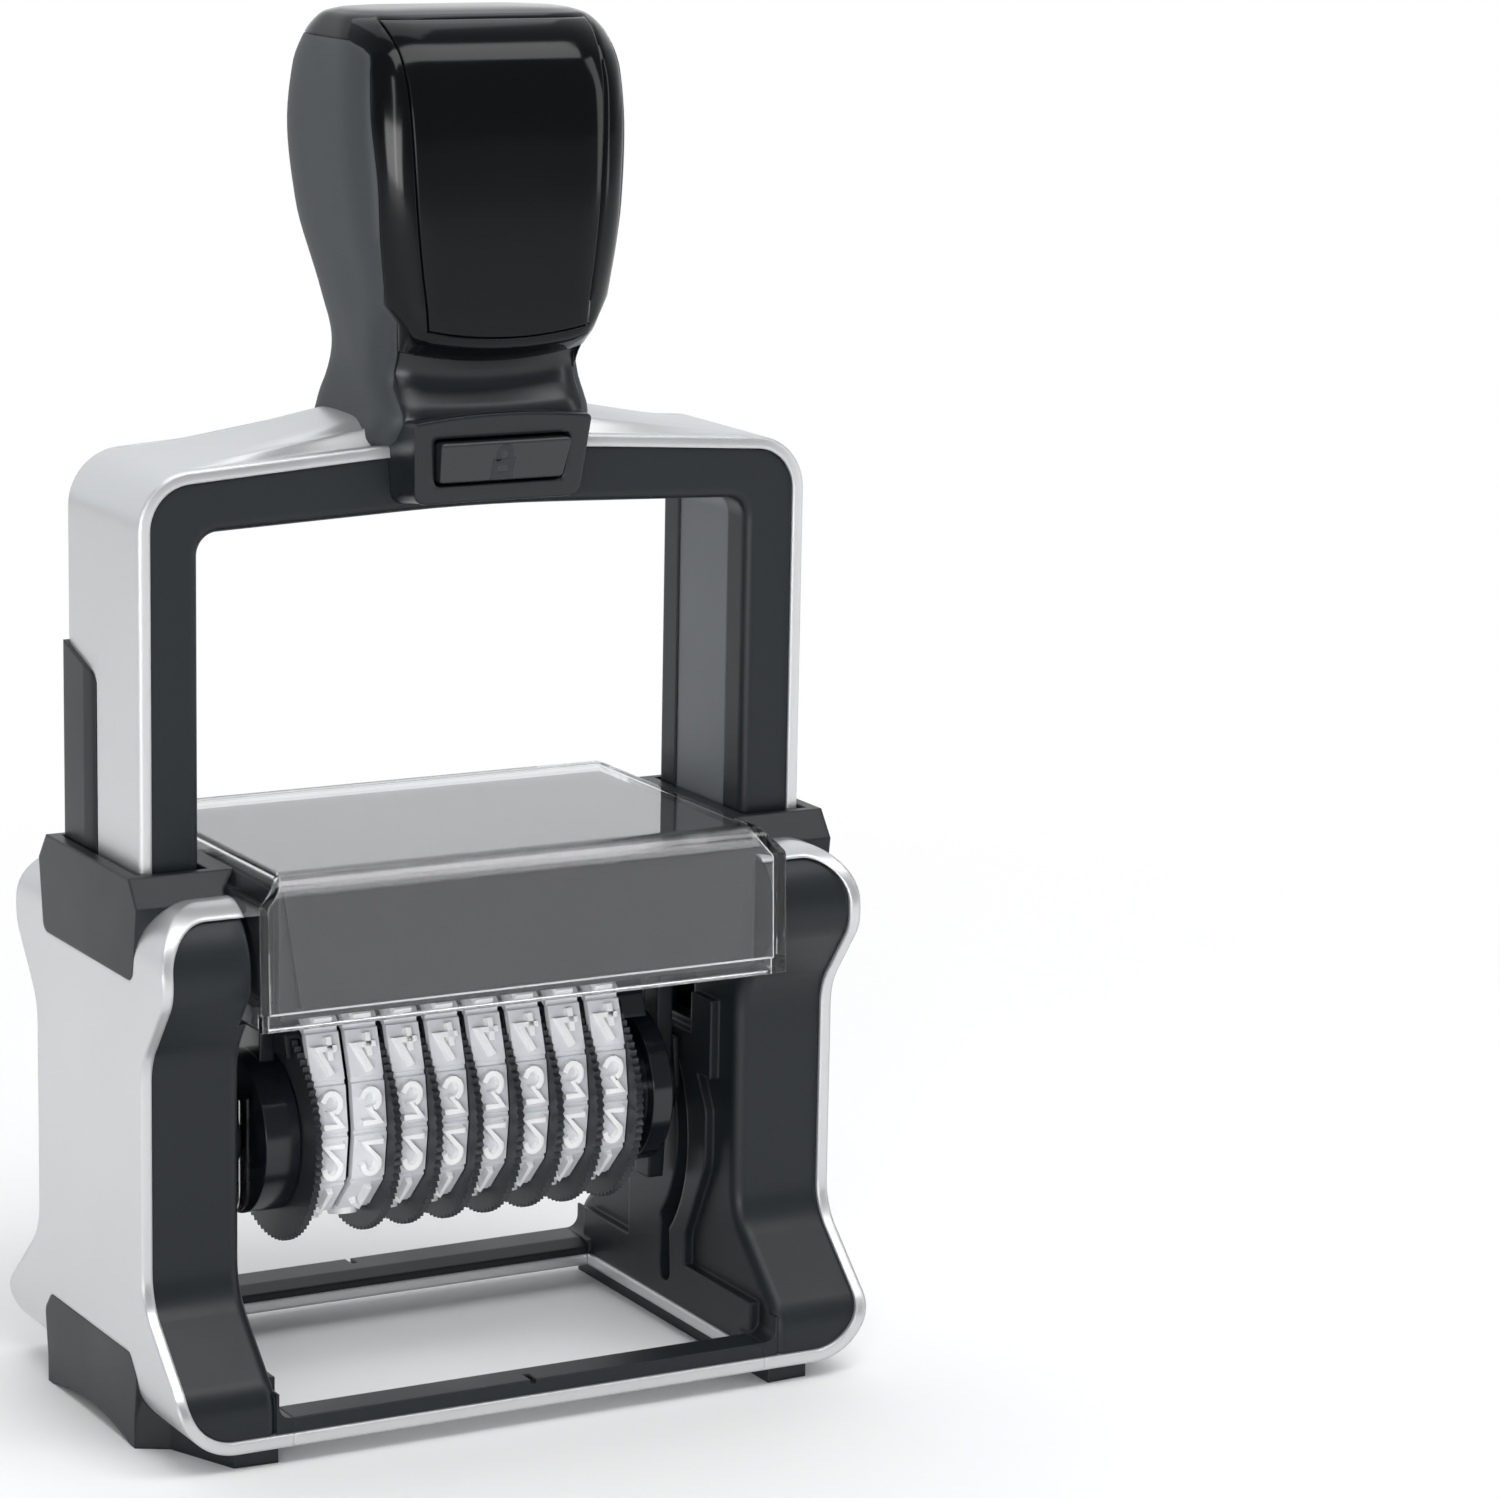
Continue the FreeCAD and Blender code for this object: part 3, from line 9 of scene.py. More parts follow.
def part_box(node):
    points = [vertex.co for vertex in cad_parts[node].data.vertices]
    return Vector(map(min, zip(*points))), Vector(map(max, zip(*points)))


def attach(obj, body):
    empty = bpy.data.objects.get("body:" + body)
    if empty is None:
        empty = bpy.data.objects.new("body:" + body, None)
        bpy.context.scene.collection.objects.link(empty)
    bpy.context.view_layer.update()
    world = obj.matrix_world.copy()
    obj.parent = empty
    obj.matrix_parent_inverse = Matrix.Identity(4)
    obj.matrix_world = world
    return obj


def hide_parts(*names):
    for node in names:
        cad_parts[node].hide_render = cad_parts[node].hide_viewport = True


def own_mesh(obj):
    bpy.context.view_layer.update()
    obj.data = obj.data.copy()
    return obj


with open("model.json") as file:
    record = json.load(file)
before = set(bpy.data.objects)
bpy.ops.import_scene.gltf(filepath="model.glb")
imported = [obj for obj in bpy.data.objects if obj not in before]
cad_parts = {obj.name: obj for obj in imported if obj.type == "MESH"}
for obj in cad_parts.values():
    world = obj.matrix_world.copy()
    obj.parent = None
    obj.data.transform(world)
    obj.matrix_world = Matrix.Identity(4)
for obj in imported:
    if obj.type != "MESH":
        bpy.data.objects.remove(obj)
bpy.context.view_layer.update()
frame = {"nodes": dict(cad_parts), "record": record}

NODES = frame["nodes"]
MM = 0.001

# Materials

NOISE_ROUGHNESS = 0.5
EDGE_SAMPLES = 6
DRIFT_SCALE, PATCH_SCALE = 18, 45
GRAIN_STRENGTH = 0.6
ROUGHER, SMOOTHER = 0.06, 0.05


class Nodes:
    """Short calls for building one material's node tree."""

    def __init__(self, name):
        self.material = bpy.data.materials.new(name)
        self.material.use_nodes = True
        self.tree = self.material.node_tree
        self.shader = self.tree.nodes["Principled BSDF"]
        self.output = self.tree.nodes["Material Output"]
        self.coords = self.tree.nodes.new("ShaderNodeTexCoord").outputs["Object"]

    def add(self, kind, links=(), **values):
        node = self.tree.nodes.new(f"ShaderNode{kind}")
        for name, value in values.items():
            setattr(node, name, value)
        for socket, value in dict(links).items():
            if isinstance(value, bpy.types.NodeSocket):
                self.tree.links.new(value, node.inputs[socket])
            else:
                node.inputs[socket].default_value = value
        return node

    def noise(self, scale, detail):
        links = {"Vector": self.coords, "Scale": scale, "Detail": detail, "Roughness": NOISE_ROUGHNESS}
        return self.add("TexNoise", links).outputs["Fac"]

    def span(self, value, low, high, from_low, from_high):
        links = {
            "Value": value, "From Min": from_low, "From Max": from_high, "To Min": low, "To Max": high,
        }
        return self.add("MapRange", links).outputs["Result"]

    def mix(self, factor, first, second):
        node = self.add("Mix", data_type="RGBA", blend_type="MIX")
        for socket, value in ((0, factor), (6, first), (7, second)):
            if isinstance(value, bpy.types.NodeSocket):
                self.tree.links.new(value, node.inputs[socket])
            elif socket == 0:
                node.inputs[0].default_value = value
            else:
                node.inputs[socket].default_value = (*value, 1.0)
        return node.outputs[2]

    def bump(self, height, distance, strength, normal=None):
        links = {"Height": height, "Distance": distance, "Strength": strength}
        if normal is not None:
            links["Normal"] = normal
        return self.add("Bump", links).outputs["Normal"]

    def rounded(self, radius):
        node = self.add("Bevel", {"Radius": radius})
        node.samples = EDGE_SAMPLES
        return node.outputs["Normal"]

    def set(self, **values):
        for name, value in values.items():
            socket = self.shader.inputs[name.replace("_", " ")]
            if isinstance(value, bpy.types.NodeSocket):
                self.tree.links.new(value, socket)
            elif isinstance(value, tuple):
                socket.default_value = (*value, 1.0)
            else:
                socket.default_value = value
        return self.material


def moulded(name, colour, roughness, edge, grain, grain_scale, metallic, tint, **extra):
    """Moulded plastic or metal: fine grain, slow colour drift, patches of roughness, rounded edges.

    edge is the radius of the edges and grain the height of the grain, both in metres.
    """
    m = Nodes(name)
    drift = m.noise(DRIFT_SCALE, 2)
    fine = m.noise(grain_scale, 2)
    darker = tuple(channel * (1 - tint) for channel in colour)
    lighter = tuple(min(1, channel * (1 + tint)) for channel in colour)
    edged = m.rounded(edge)
    normal = m.bump(fine, grain, GRAIN_STRENGTH, edged)
    patches = m.noise(PATCH_SCALE, 4)
    rough = m.span(patches, roughness - SMOOTHER, roughness + ROUGHER, 0.3, 0.7)
    return m.set(Base_Color=m.mix(drift, darker, lighter), Roughness=rough, Normal=normal,
                 Metallic=metallic, **extra)


SILVER = moulded("silver", (0.64, 0.65, 0.66), 0.33, 0.0006, 0.000004, 2600, 0.75, 0.03)
BLACK = moulded("black_satin", (0.0105, 0.0135, 0.0160), 0.38, 0.0005, 0.000010, 2000, 0.0, 0.12,
                Specular_IOR_Level=0.33)
BLACK_FINE = moulded("black_small_parts", (0.0100, 0.0125, 0.0150), 0.28, 0.0002, 0.000006, 2600, 0.0,
                     0.12, Specular_IOR_Level=0.40)
GRIP = moulded("grip", (0.040, 0.046, 0.051), 0.50, 0.0004, 0.000020, 1800, 0.0, 0.10,
               Specular_IOR_Level=0.4)
GLOSS = moulded("gloss_black", (0.0025, 0.0030, 0.0038), 0.09, 0.0003, 0.000001, 900, 0.0, 0.2,
                Specular_IOR_Level=0.22)
CARD = moulded("card", (0.009, 0.0093, 0.0105), 0.72, 0.0001, 0.0000003, 3000, 0.0, 0.03)
FELT = moulded("ink_felt", (0.012, 0.012, 0.02), 0.85, 0.0002, 0.00008, 2500, 0.0, 0.3)
# The bands and their digits are one off-white rubber. The plates are set darker as painted shade and the
# digits lighter as a painted highlight, so that the raised digits stand out.
RUBBER = moulded("band_rubber", (0.73, 0.745, 0.78), 0.42, 0.00012, 0.00001, 2400, 0.0, 0.05)
DIGIT_RUBBER_PAINTED_HIGHLIGHT = moulded("digit_rubber_painted_highlight", (0.94, 0.945, 0.95), 0.42, 0.00012, 0.00001, 2400, 0.0, 0.05)
WHEEL = moulded("wheel_plastic", (0.026, 0.030, 0.034), 0.40, 0.00008, 0.000006, 2600, 0.0, 0.15)
STEEL = moulded("bright_steel", (0.62, 0.62, 0.63), 0.25, 0.0001, 0.000003, 3500, 1.0, 0.06)
DRUM = moulded("drum_gloss", (0.008, 0.010, 0.014), 0.16, 0.0003, 0.000004, 1200, 0.0, 0.2)
CORE = moulded("leg_core", (0.115, 0.125, 0.135), 0.42, 0.0004, 0.000008, 2200, 0.0, 0.06)
BUTTON = moulded("button_plastic", (0.020, 0.022, 0.025), 0.28, 0.0003, 0.000012, 2200, 0.0, 0.12)


def clear_plastic():
    """Clear moulding: see-through, slightly grey, with a faint ripple and a light shadow."""
    m = Nodes("clear_plastic")
    ripple = m.bump(m.noise(60, 1), 0.00003, 0.5, m.rounded(0.0004))
    colour = m.mix(m.noise(20, 2), (0.90, 0.90, 0.92), (0.95, 0.95, 0.96))
    material = m.set(Base_Color=colour, Roughness=0.0, Normal=ripple, Transmission_Weight=1.0, IOR=1.5)
    clear = m.add("BsdfTransparent", {"Color": (0.93, 0.93, 0.94, 1)}).outputs[0]
    shadow = m.add("LightPath").outputs["Is Shadow Ray"]
    lit = m.add("MixShader", {0: shadow, 1: m.shader.outputs[0], 2: clear}).outputs[0]
    m.tree.links.new(lit, m.output.inputs["Surface"])
    return material


CLEAR = clear_plastic()

LOOKS = {
    "silver_plastic": SILVER,
    "black_plastic": BLACK,
    "grip": GRIP,
    "gloss_black": GLOSS,
    "clear_plastic": CLEAR,
    "card": CARD,
    "ink_felt": FELT,
    "band_rubber": RUBBER,
    "wheel_plastic": WHEEL,
    "steel": STEEL,
}
SLOTS = {row["node"]: row["material_slot"] for row in frame["record"]["subparts"]}


def dress(obj, material):
    obj.data.materials.clear()
    obj.data.materials.append(material)


for name, node in NODES.items():
    dress(node, LOOKS[SLOTS[name]])
for name in ("carrier_left", "carrier_right"):
    dress(NODES[name], DRUM)
dress(NODES["lock_button"], BUTTON)
dress(NODES["bridge_core"], CORE)

# Mesh helpers


def add_mesh(name, verts, faces, material, body, replaced, sharp, second=None):
    """Make one piece from points in millimetres and let it ride on a CAD body.

    Edges that turn by more than sharp degrees stay crisp. second is another material and the number
    of the face that it starts at.
    """
    mesh = bpy.data.meshes.new(name)
    mesh.from_pydata([Vector(v) * MM for v in verts], [], faces)
    if second:
        for polygon in mesh.polygons[second[1]:]:
            polygon.material_index = 1
    work = bmesh.new()
    work.from_mesh(mesh)
    bmesh.ops.remove_doubles(work, verts=work.verts, dist=1e-7)
    bmesh.ops.recalc_face_normals(work, faces=work.faces)
    limit = math.radians(sharp)
    for edge in work.edges:
        edge.smooth = not (edge.is_manifold and edge.calc_face_angle(0) > limit)
    for face in work.faces:
        face.smooth = True
    work.to_mesh(mesh)
    work.free()
    obj = bpy.data.objects.new(name, mesh)
    bpy.context.scene.collection.objects.link(obj)
    mesh.materials.append(material)
    if second:
        mesh.materials.append(second[0])
    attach(obj, body)
    if replaced:
        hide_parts(*replaced)
    return obj


def curve_at(table, place):
    """Smooth values between rows of (place, value, value, ...), by a monotone cubic."""
    rows = len(table)
    index = max(0, min(rows - 2, sum(1 for row in table[1:-1] if row[0] <= place)))
    low, high = table[index], table[index + 1]
    span = high[0] - low[0]
    share = max(0.0, min(1.0, (place - low[0]) / span))
    result = []
    for column in range(1, len(low)):
        def slope(k):
            if k <= 0 or k >= rows - 1:
                k0, k1 = (0, 1) if k <= 0 else (rows - 2, rows - 1)
                return (table[k1][column] - table[k0][column]) / (table[k1][0] - table[k0][0])
            before = (table[k][column] - table[k - 1][column]) / (table[k][0] - table[k - 1][0])
            after = (table[k + 1][column] - table[k][column]) / (table[k + 1][0] - table[k][0])
            return 0.0 if before * after <= 0 else 2 * before * after / (before + after)
        a, b = low[column], high[column]
        m0, m1 = slope(index) * span, slope(index + 1) * span
        s2, s3 = share * share, share ** 3
        result.append((2 * s3 - 3 * s2 + 1) * a + (s3 - 2 * s2 + share) * m0
                      + (3 * s2 - 2 * s3) * b + (s3 - s2) * m1)
    return result


def grid_faces(rows, columns, offset=0, closed=False):
    """Quads of a grid of points stored row by row."""
    faces = []
    last = columns if closed else columns - 1
    for row in range(rows - 1):
        for column in range(last):
            following = (column + 1) % columns
            a = offset + row * columns
            faces.append((a + column, a + following, a + columns + following, a + columns + column))
    return faces


# Handle

# Each level: height, half width, front, back, corner radius
HANDLE_LEVELS = [
    (110.5, 14.2, 9.2, 10.4, 4.0),
    (113.0, 13.5, 12.4, 10.2, 4.2),
    (115.0, 13.1, 14.2, 10.0, 4.5),
    (119.0, 12.9, 11.8, 7.9, 5.0),
    (123.5, 13.7, 14.0, 5.8, 5.5),
    (128.0, 14.8, 16.9, 7.0, 6.5),
    (138.0, 16.5, 17.4, 11.2, 7.5),
    (147.0, 17.1, 17.2, 12.6, 8.0),
    (153.0, 16.9, 16.3, 11.5, 7.8),
    (157.0, 16.2, 13.9, 8.8, 7.0),
    (158.5, 15.4, 11.9, 7.2, 6.3),
    (159.3, 14.7, 9.9, 5.6, 5.5),
    (159.75, 13.5, 7.7, 3.7, 4.6),
]
# Each row: height and how far the cap's front stands forward
CAP_FRONT = [
    (121.3, 13.9), (122.3, 15.6), (123.3, 16.75), (124.2, 17.0), (131.0, 17.1), (138.0, 17.15),
    (146.0, 17.0), (151.0, 16.6), (155.0, 15.2), (157.0, 13.6), (158.5, 11.8), (159.3, 9.9),
    (159.75, 7.7),
]
# Each row: height and how far forward the seam between cap and grip lies
CAP_EDGE = [
    (126.0, 13.6), (129.5, 14.05), (140.0, 14.5), (150.0, 13.5), (154.0, 12.8), (155.4, 12.2),
    (156.2, 10.9), (156.8, 9.0), (158.5, 7.6), (159.75, 5.2),
]
# Each row: height and the badge's half width, and below it the neck panel's
BADGE_SIDE = [
    (111.0, 9.0), (121.3, 9.4), (123.3, 9.85), (126.0, 10.04), (131.0, 10.66), (138.0, 11.3),
    (151.0, 12.05), (155.0, 12.3), (159.1, 12.75), (159.75, 11.9),
]
NECK_SIDE = [(110.0, 11.3), (119.0, 11.3), (121.3, 11.65), (123.0, 12.1), (124.0, 12.4)]
NECK_BOTTOM = 113.6
CAP_BOTTOM, BADGE_BOTTOM, BADGE_TOP, CAP_TOP_EDGE = 121.3, 124.2, 159.15, 156.8
GROOVE = 0.16
NECK_TOP, SIDE_SEAM_START = 124.0, 126.0
BOW_RISE, BOW_REACH, BOW_MOST = 1.5, 11.7, 1.1
SEAM_ACROSS = 11.9
FACET_BULGE = 0.45
BADGE_SEAM_DEPTH, GRIP_SEAM_DEPTH, NECK_SEAM_DEPTH = 0.30, 0.16, 0.10
CAP_CROWN = ((0.85, 159.87), (0.62, 159.95), (0.35, 159.99))


def smooth_step(value, low, high):
    share = max(0.0, min(1.0, (value - low) / (high - low)))
    return share * share * (3 - 2 * share)


def ring_at_x(level, across):
    """Front side of a rounded rectangle: its depth at a distance from the middle."""
    half, front, _, radius = level
    beyond = across - (half - radius)
    if beyond <= 0:
        return Vector((across, -front))
    beyond = min(beyond, radius * 0.999)
    return Vector((across, -front + radius - math.sqrt(radius * radius - beyond * beyond)))


def ring_at_y(level, depth):
    """The same rounded corner, found by depth."""
    half, front, _, radius = level
    share = max(0.0, min(1.0, (depth + front) / radius))
    return Vector((half - radius + radius * math.sqrt(1 - (1 - share) ** 2), depth))


def side_path(level, start, count):
    """Points from start round the side to the middle of the back."""
    half, front, back, radius = level
    path = [start]
    centre = Vector((half - radius, -front + radius))
    first = math.atan2(start.y - centre.y, start.x - centre.x)
    if start.y < centre.y:
        for step in range(1, 9):
            angle = first * (1 - step / 8)
            path.append(centre + Vector((math.cos(angle), math.sin(angle))) * radius)
    rear = min(radius * 1.15, half * 0.98, (back - centre.y) * 0.98)
    path.append(Vector((half, back - rear)))
    for step in range(1, 13):
        angle = math.pi / 2 * step / 12
        path.append(Vector((half - rear + rear * math.cos(angle), back - rear + rear * math.sin(angle))))
    path.append(Vector((0.0, back)))
    lengths = [0.0]
    for before, after in zip(path, path[1:]):
        lengths.append(lengths[-1] + (after - before).length)
    points = []
    for step in range(count + 1):
        wanted = lengths[-1] * step / count
        index = max(i for i, length in enumerate(lengths) if length <= wanted + 1e-9)
        index = min(index, len(path) - 2)
        run = lengths[index + 1] - lengths[index]
        share = 0 if run < 1e-9 else (wanted - lengths[index]) / run
        points.append(path[index].lerp(path[index + 1], share))
    return points


def bow_lift(height, across):
    """How much a level rises away from the middle, so that the cap's lower edge is bowed."""
    size = BOW_RISE * (1 - smooth_step(height, 124.5, 140)) * smooth_step(height, 115, 121)
    return size * min(BOW_MOST, (across / BOW_REACH) ** 2)


def handle_half_row(height, is_cap):
    """Right-hand points of one level, from the front's middle to the back's middle."""
    body = curve_at(HANDLE_LEVELS, height)
    edge_body = curve_at(HANDLE_LEVELS, height + bow_lift(height, SEAM_ACROSS))
    level = list(body)
    if is_cap:
        level[1] = curve_at(CAP_FRONT, height)[0]
    badge = curve_at(BADGE_SIDE, height)[0]
    if height >= SIDE_SEAM_START:
        edge = ring_at_y(edge_body, -curve_at(CAP_EDGE, height)[0])
    else:
        edge = ring_at_x(edge_body, curve_at(NECK_SIDE, min(height, NECK_TOP))[0])
        if height > NECK_TOP:
            later = ring_at_y(edge_body, -curve_at(CAP_EDGE, SIDE_SEAM_START)[0])
            edge = edge.lerp(later, (height - NECK_TOP) / (SIDE_SEAM_START - NECK_TOP))
    shares = [0, 0.2, 0.4, 0.58, 0.74, 0.86, 0.94]
    front = [ring_at_x(level, badge * share) for share in shares]
    front += [ring_at_x(level, badge - GROOVE), ring_at_x(level, badge)]
    start = ring_at_x(level, badge + GROOVE)
    chord = edge - start
    outward = Vector((chord.y, -chord.x)).normalized()
    round_share = smooth_step(height, 150, 158) if is_cap else 1.0
    facet = []
    for share in (0, 0.12, 0.28, 0.46, 0.64, 0.8, 0.92):
        flat = start + chord * share + outward * (FACET_BULGE * 4 * share * (1 - share))
        if is_cap:
            arched = ring_at_x(level, start.x + chord.x * math.sin(share * math.pi / 2) ** 0.8)
            arched = arched.lerp(edge, share ** 3)
            facet.append(flat.lerp(arched, round_share))
        else:
            facet.append(ring_at_x(body, start.x + chord.x * share))
    near = edge - chord.normalized() * GROOVE
    facet.append(near)
    side = side_path(body, edge, 26)
    beyond = side[0] + (side[1] - side[0]).normalized() * GROOVE
    return front + facet + [side[0], beyond] + side[1:]


FRONT_COLUMNS = 9
FACET_COLUMNS = 8
EDGE_COLUMN = FRONT_COLUMNS + FACET_COLUMNS


def handle_rows():
    """Heights of the grid's rows with a flag for the rows that follow the cap's front."""
    neck = (111.3, 112.5, NECK_BOTTOM, 114.6, 115.6, 116.6, 117.8, 119.0, 120.2)
    rows = [(height, False) for height in neck]
    rows += [(CAP_BOTTOM - 0.12, False), (CAP_BOTTOM, True), (121.6, True), (122.3, True), (122.9, True)]
    rows += [(123.35, True), (123.7, True), (BADGE_BOTTOM - GROOVE, True), (BADGE_BOTTOM, True)]
    rows += [(BADGE_BOTTOM + GROOVE, True)]
    rows += [(125.2 + step * 1.3, True) for step in range(21)]
    rows += [(height, True) for height in (152.5, 153.6, 154.6, 155.4, 156.0)]
    rows += [(CAP_TOP_EDGE - GROOVE, True), (CAP_TOP_EDGE, True), (CAP_TOP_EDGE + GROOVE, True)]
    rows += [(height, True) for height in (157.5, 158.0, 158.5, 158.8, BADGE_TOP - GROOVE, BADGE_TOP)]
    rows += [(height, True) for height in (BADGE_TOP + GROOVE, 159.5, 159.66, 159.75)]
    return rows


def build_handle():
    rows = handle_rows()
    half_count = len(handle_half_row(130.0, True))
    columns = 2 * half_count - 2
    points = []
    for height, is_cap in rows:
        half = handle_half_row(height, is_cap)
        raised = []
        for point in half:
            in_front = max(0.0, min(1.0, (-point.y - 4) / 6))
            raised.append(bow_lift(height, point.x) * in_front)
        right = [Vector((p.x, p.y, height + lift)) for p, lift in zip(half, raised)]
        left = [Vector((-p.x, p.y, p.z)) for p in right[1:-1]]
        points.append(right + left[::-1])
    row_of = {height: index for index, (height, _) in enumerate(rows)}
    cap_bottom, badge_bottom, neck_bottom = row_of[CAP_BOTTOM], row_of[BADGE_BOTTOM], row_of[NECK_BOTTOM]
    badge_top, cap_edge = row_of[BADGE_TOP], row_of[CAP_TOP_EDGE]

    def half_column(column):
        return column if column < half_count else columns - column

    def piece_of(row, column):
        """The piece that a face belongs to; hidden faces lie behind the bracket and aren't made."""
        position = min(half_column(column), half_column((column + 1) % columns))
        in_badge = position < FRONT_COLUMNS - 1
        if in_badge and badge_bottom <= row < badge_top:
            return "badge"
        if position < EDGE_COLUMN:
            return "cap" if row >= cap_bottom else "neck" if row >= neck_bottom else "hidden"
        return "cap" if row >= cap_edge else "grip"

    owners = {}
    faces = {"badge": [], "cap": [], "neck": [], "grip": [], "hidden": []}
    for row in range(len(rows) - 1):
        for column in range(columns):
            corners = [(row, column), (row, (column + 1) % columns), (row + 1, (column + 1) % columns),
                       (row + 1, column)]
            piece = piece_of(row, column)
            faces[piece].append(corners)
            for corner in corners:
                owners.setdefault(corner, set()).add(piece)
    middle = Vector((0, -2.5, 0))
    depths = {
        frozenset(("badge", "cap")): BADGE_SEAM_DEPTH,
        frozenset(("cap", "grip")): GRIP_SEAM_DEPTH,
        frozenset(("neck", "grip")): NECK_SEAM_DEPTH,
    }

    def settled(corner):
        """A corner's place, drawn in a little where two pieces meet."""
        point = points[corner[0]][corner[1]]
        depth = max((d for pair, d in depths.items() if pair <= owners[corner]), default=0.0)
        if depth == 0:
            return point
        inward = Vector((middle.x - point.x, middle.y - point.y, 0)).normalized()
        if point.z > 157:
            inward = (inward + Vector((0, 0, -2.0 * (point.z - 157) / 2.7))).normalized()
        return point + inward * depth

    def piece_mesh(piece):
        index, verts, quads = {}, [], []
        for corners in faces[piece]:
            quad = []
            for corner in corners:
                if corner not in index:
                    index[corner] = len(verts)
                    verts.append(settled(corner))
                quad.append(index[corner])
            quads.append(tuple(quad))
        return index, verts, quads

    index, verts, quads = piece_mesh("cap")
    last = len(rows) - 1
    ring = [points[last][column] for column in range(columns)]
    previous = [index[(last, column)] for column in range(columns)]
    centre = Vector((0, -2.0, 0))
    for scale, height in CAP_CROWN:
        current = []
        for point in ring:
            current.append(len(verts))
            verts.append(Vector((point.x * scale, centre.y + (point.y - centre.y) * scale, height)))
        for column in range(columns):
            following = (column + 1) % columns
            quads.append((previous[column], previous[following], current[following], current[column]))
        previous = current
    quads.append(tuple(previous))
    add_mesh("handle_cap_look", verts, quads, GLOSS, "bridge", ["handle_cap"], 50)
    _, verts, quads = piece_mesh("badge")
    add_mesh("badge_plate_look", verts, quads, GLOSS, "bridge", ["badge_plate"], 50)
    _, verts, quads = piece_mesh("grip")
    add_mesh("handle_grip_look", verts, quads, GRIP, "bridge", ["handle_grip"], 50)
    _, verts, quads = piece_mesh("neck")
    add_mesh("neck_panel", verts, quads, BLACK_FINE, "bridge", ["button_housing"], 50)


build_handle()

# Number bands

PIVOT = Vector((0, 0, 31.5))
BAND_CORNERS = [(0, 21), (5.9, 22.4), (10.1, 26.8), (10.9, 32.8), (10, 38.8), (7.9, 44.6), (2.93, 48.2)]
BAND_HALF_WIDTH = 2.05
BAND_THICKNESS = 1.0
PLATE_GAP = 0.22
PLATE_EDGE = PLATE_GAP * 1.6
PLATE_RISE = 0.28
DIGIT_SINK = 0.02
DIGIT_WIDTH, DIGIT_HEIGHT, DIGIT_RISE = 2.75, 4.5, 0.78
STROKE_FOOT, STROKE_TOP = 0.46, 0.33


def arc(cx, cy, rx, ry, first, last, steps=8):
    """Points along part of an ellipse, between two angles in degrees."""
    angles = [math.radians(first + (last - first) * step / steps) for step in range(steps + 1)]
    return [(cx + rx * math.cos(a), cy + ry * math.sin(a)) for a in angles]


# Strokes of each digit in a box one unit wide and one unit tall, centred on 0, 0
DIGITS = {
    0: [arc(0, 0.18, 0.5, 0.32, 0, 180) + arc(0, -0.18, 0.5, 0.32, 180, 360) + [(0.5, 0.18)]],
    1: [[(-0.32, 0.24), (0.1, 0.5), (0.1, -0.5)]],
    2: [arc(0, 0.2, 0.48, 0.3, 170, -20) + [(-0.5, -0.5), (0.52, -0.5)]],
    3: [[(-0.46, 0.5), (0.46, 0.5), (-0.04, 0.1)] + arc(-0.02, -0.2, 0.5, 0.3, 80, -160)],
    4: [[(0.1, 0.5), (-0.5, -0.22), (0.5, -0.22)], [(0.2, 0.06), (0.2, -0.5)]],
    5: [[(0.42, 0.5), (-0.36, 0.5), (-0.42, 0.06)] + arc(-0.02, -0.17, 0.5, 0.33, 130, -160)],
    6: [[(0.2, 0.5), (-0.36, 0.06)] + arc(0, -0.2, 0.48, 0.3, 150, 510, 14)],
    7: [[(-0.48, 0.5), (0.48, 0.5), (-0.1, -0.5)]],
    8: [arc(0, 0.26, 0.4, 0.24, -90, 270, 12), arc(0, -0.23, 0.48, 0.27, 90, 450, 12)],
    9: [[(-0.2, -0.5), (0.36, -0.06)] + arc(0, 0.2, 0.48, 0.3, -30, 330, 14)],
}


def stroke_mesh(points, verts, faces, place):
    """A raised ridge along a line of flat points: wide at its foot, narrow on top."""
    line = [Vector(point) for point in points]
    count = len(line)
    closed = (line[0] - line[-1]).length < 0.05
    if closed:
        line, count = line[:-1], count - 1
    first = len(verts)
    for index, point in enumerate(line):
        before = line[index - 1] if index or closed else None
        after = line[(index + 1) % count] if index + 1 < count or closed else None
        ways = [(point - before).normalized()] if before is not None else []
        ways += [(after - point).normalized()] if after is not None else []
        way = sum(ways, Vector((0, 0))).normalized()
        stretch = 1 / max(0.6, way.dot(ways[0]))
        across = Vector((-way.y, way.x)) * stretch
        end = Vector((0, 0))
        if len(ways) == 1:
            end = way * STROKE_FOOT * (0.6 if before is not None else -0.6)
        for side, rise in ((-STROKE_FOOT, 0), (-STROKE_TOP, DIGIT_RISE), (STROKE_TOP, DIGIT_RISE),
                           (STROKE_FOOT, 0)):
            flat = point + across * side + end
            verts.append(place(flat.x, flat.y, rise))
    spans = count if closed else count - 1
    for index in range(spans):
        a, b = first + 4 * index, first + 4 * ((index + 1) % count)
        faces.extend((a + k, a + k + 1, b + k + 1, b + k) for k in range(3))
    if not closed:
        last = first + 4 * (count - 1)
        faces.append((first, first + 3, first + 2, first + 1))
        faces.append((last, last + 1, last + 2, last + 3))


def plate_section(rise):
    """Across a band: how far to the side and how far out each corner of its section lies."""
    half = BAND_HALF_WIDTH
    return [(-half, -BAND_THICKNESS), (-half, rise), (half, rise), (half, -BAND_THICKNESS)]


def band_facets():
    """Corners of the facets in order, from the one under the print face round by the front."""
    front = [Vector((-across, up)) for across, up in BAND_CORNERS[::-1]]
    back = [Vector((across, up)) for across, up in BAND_CORNERS[1:]]
    return front + back


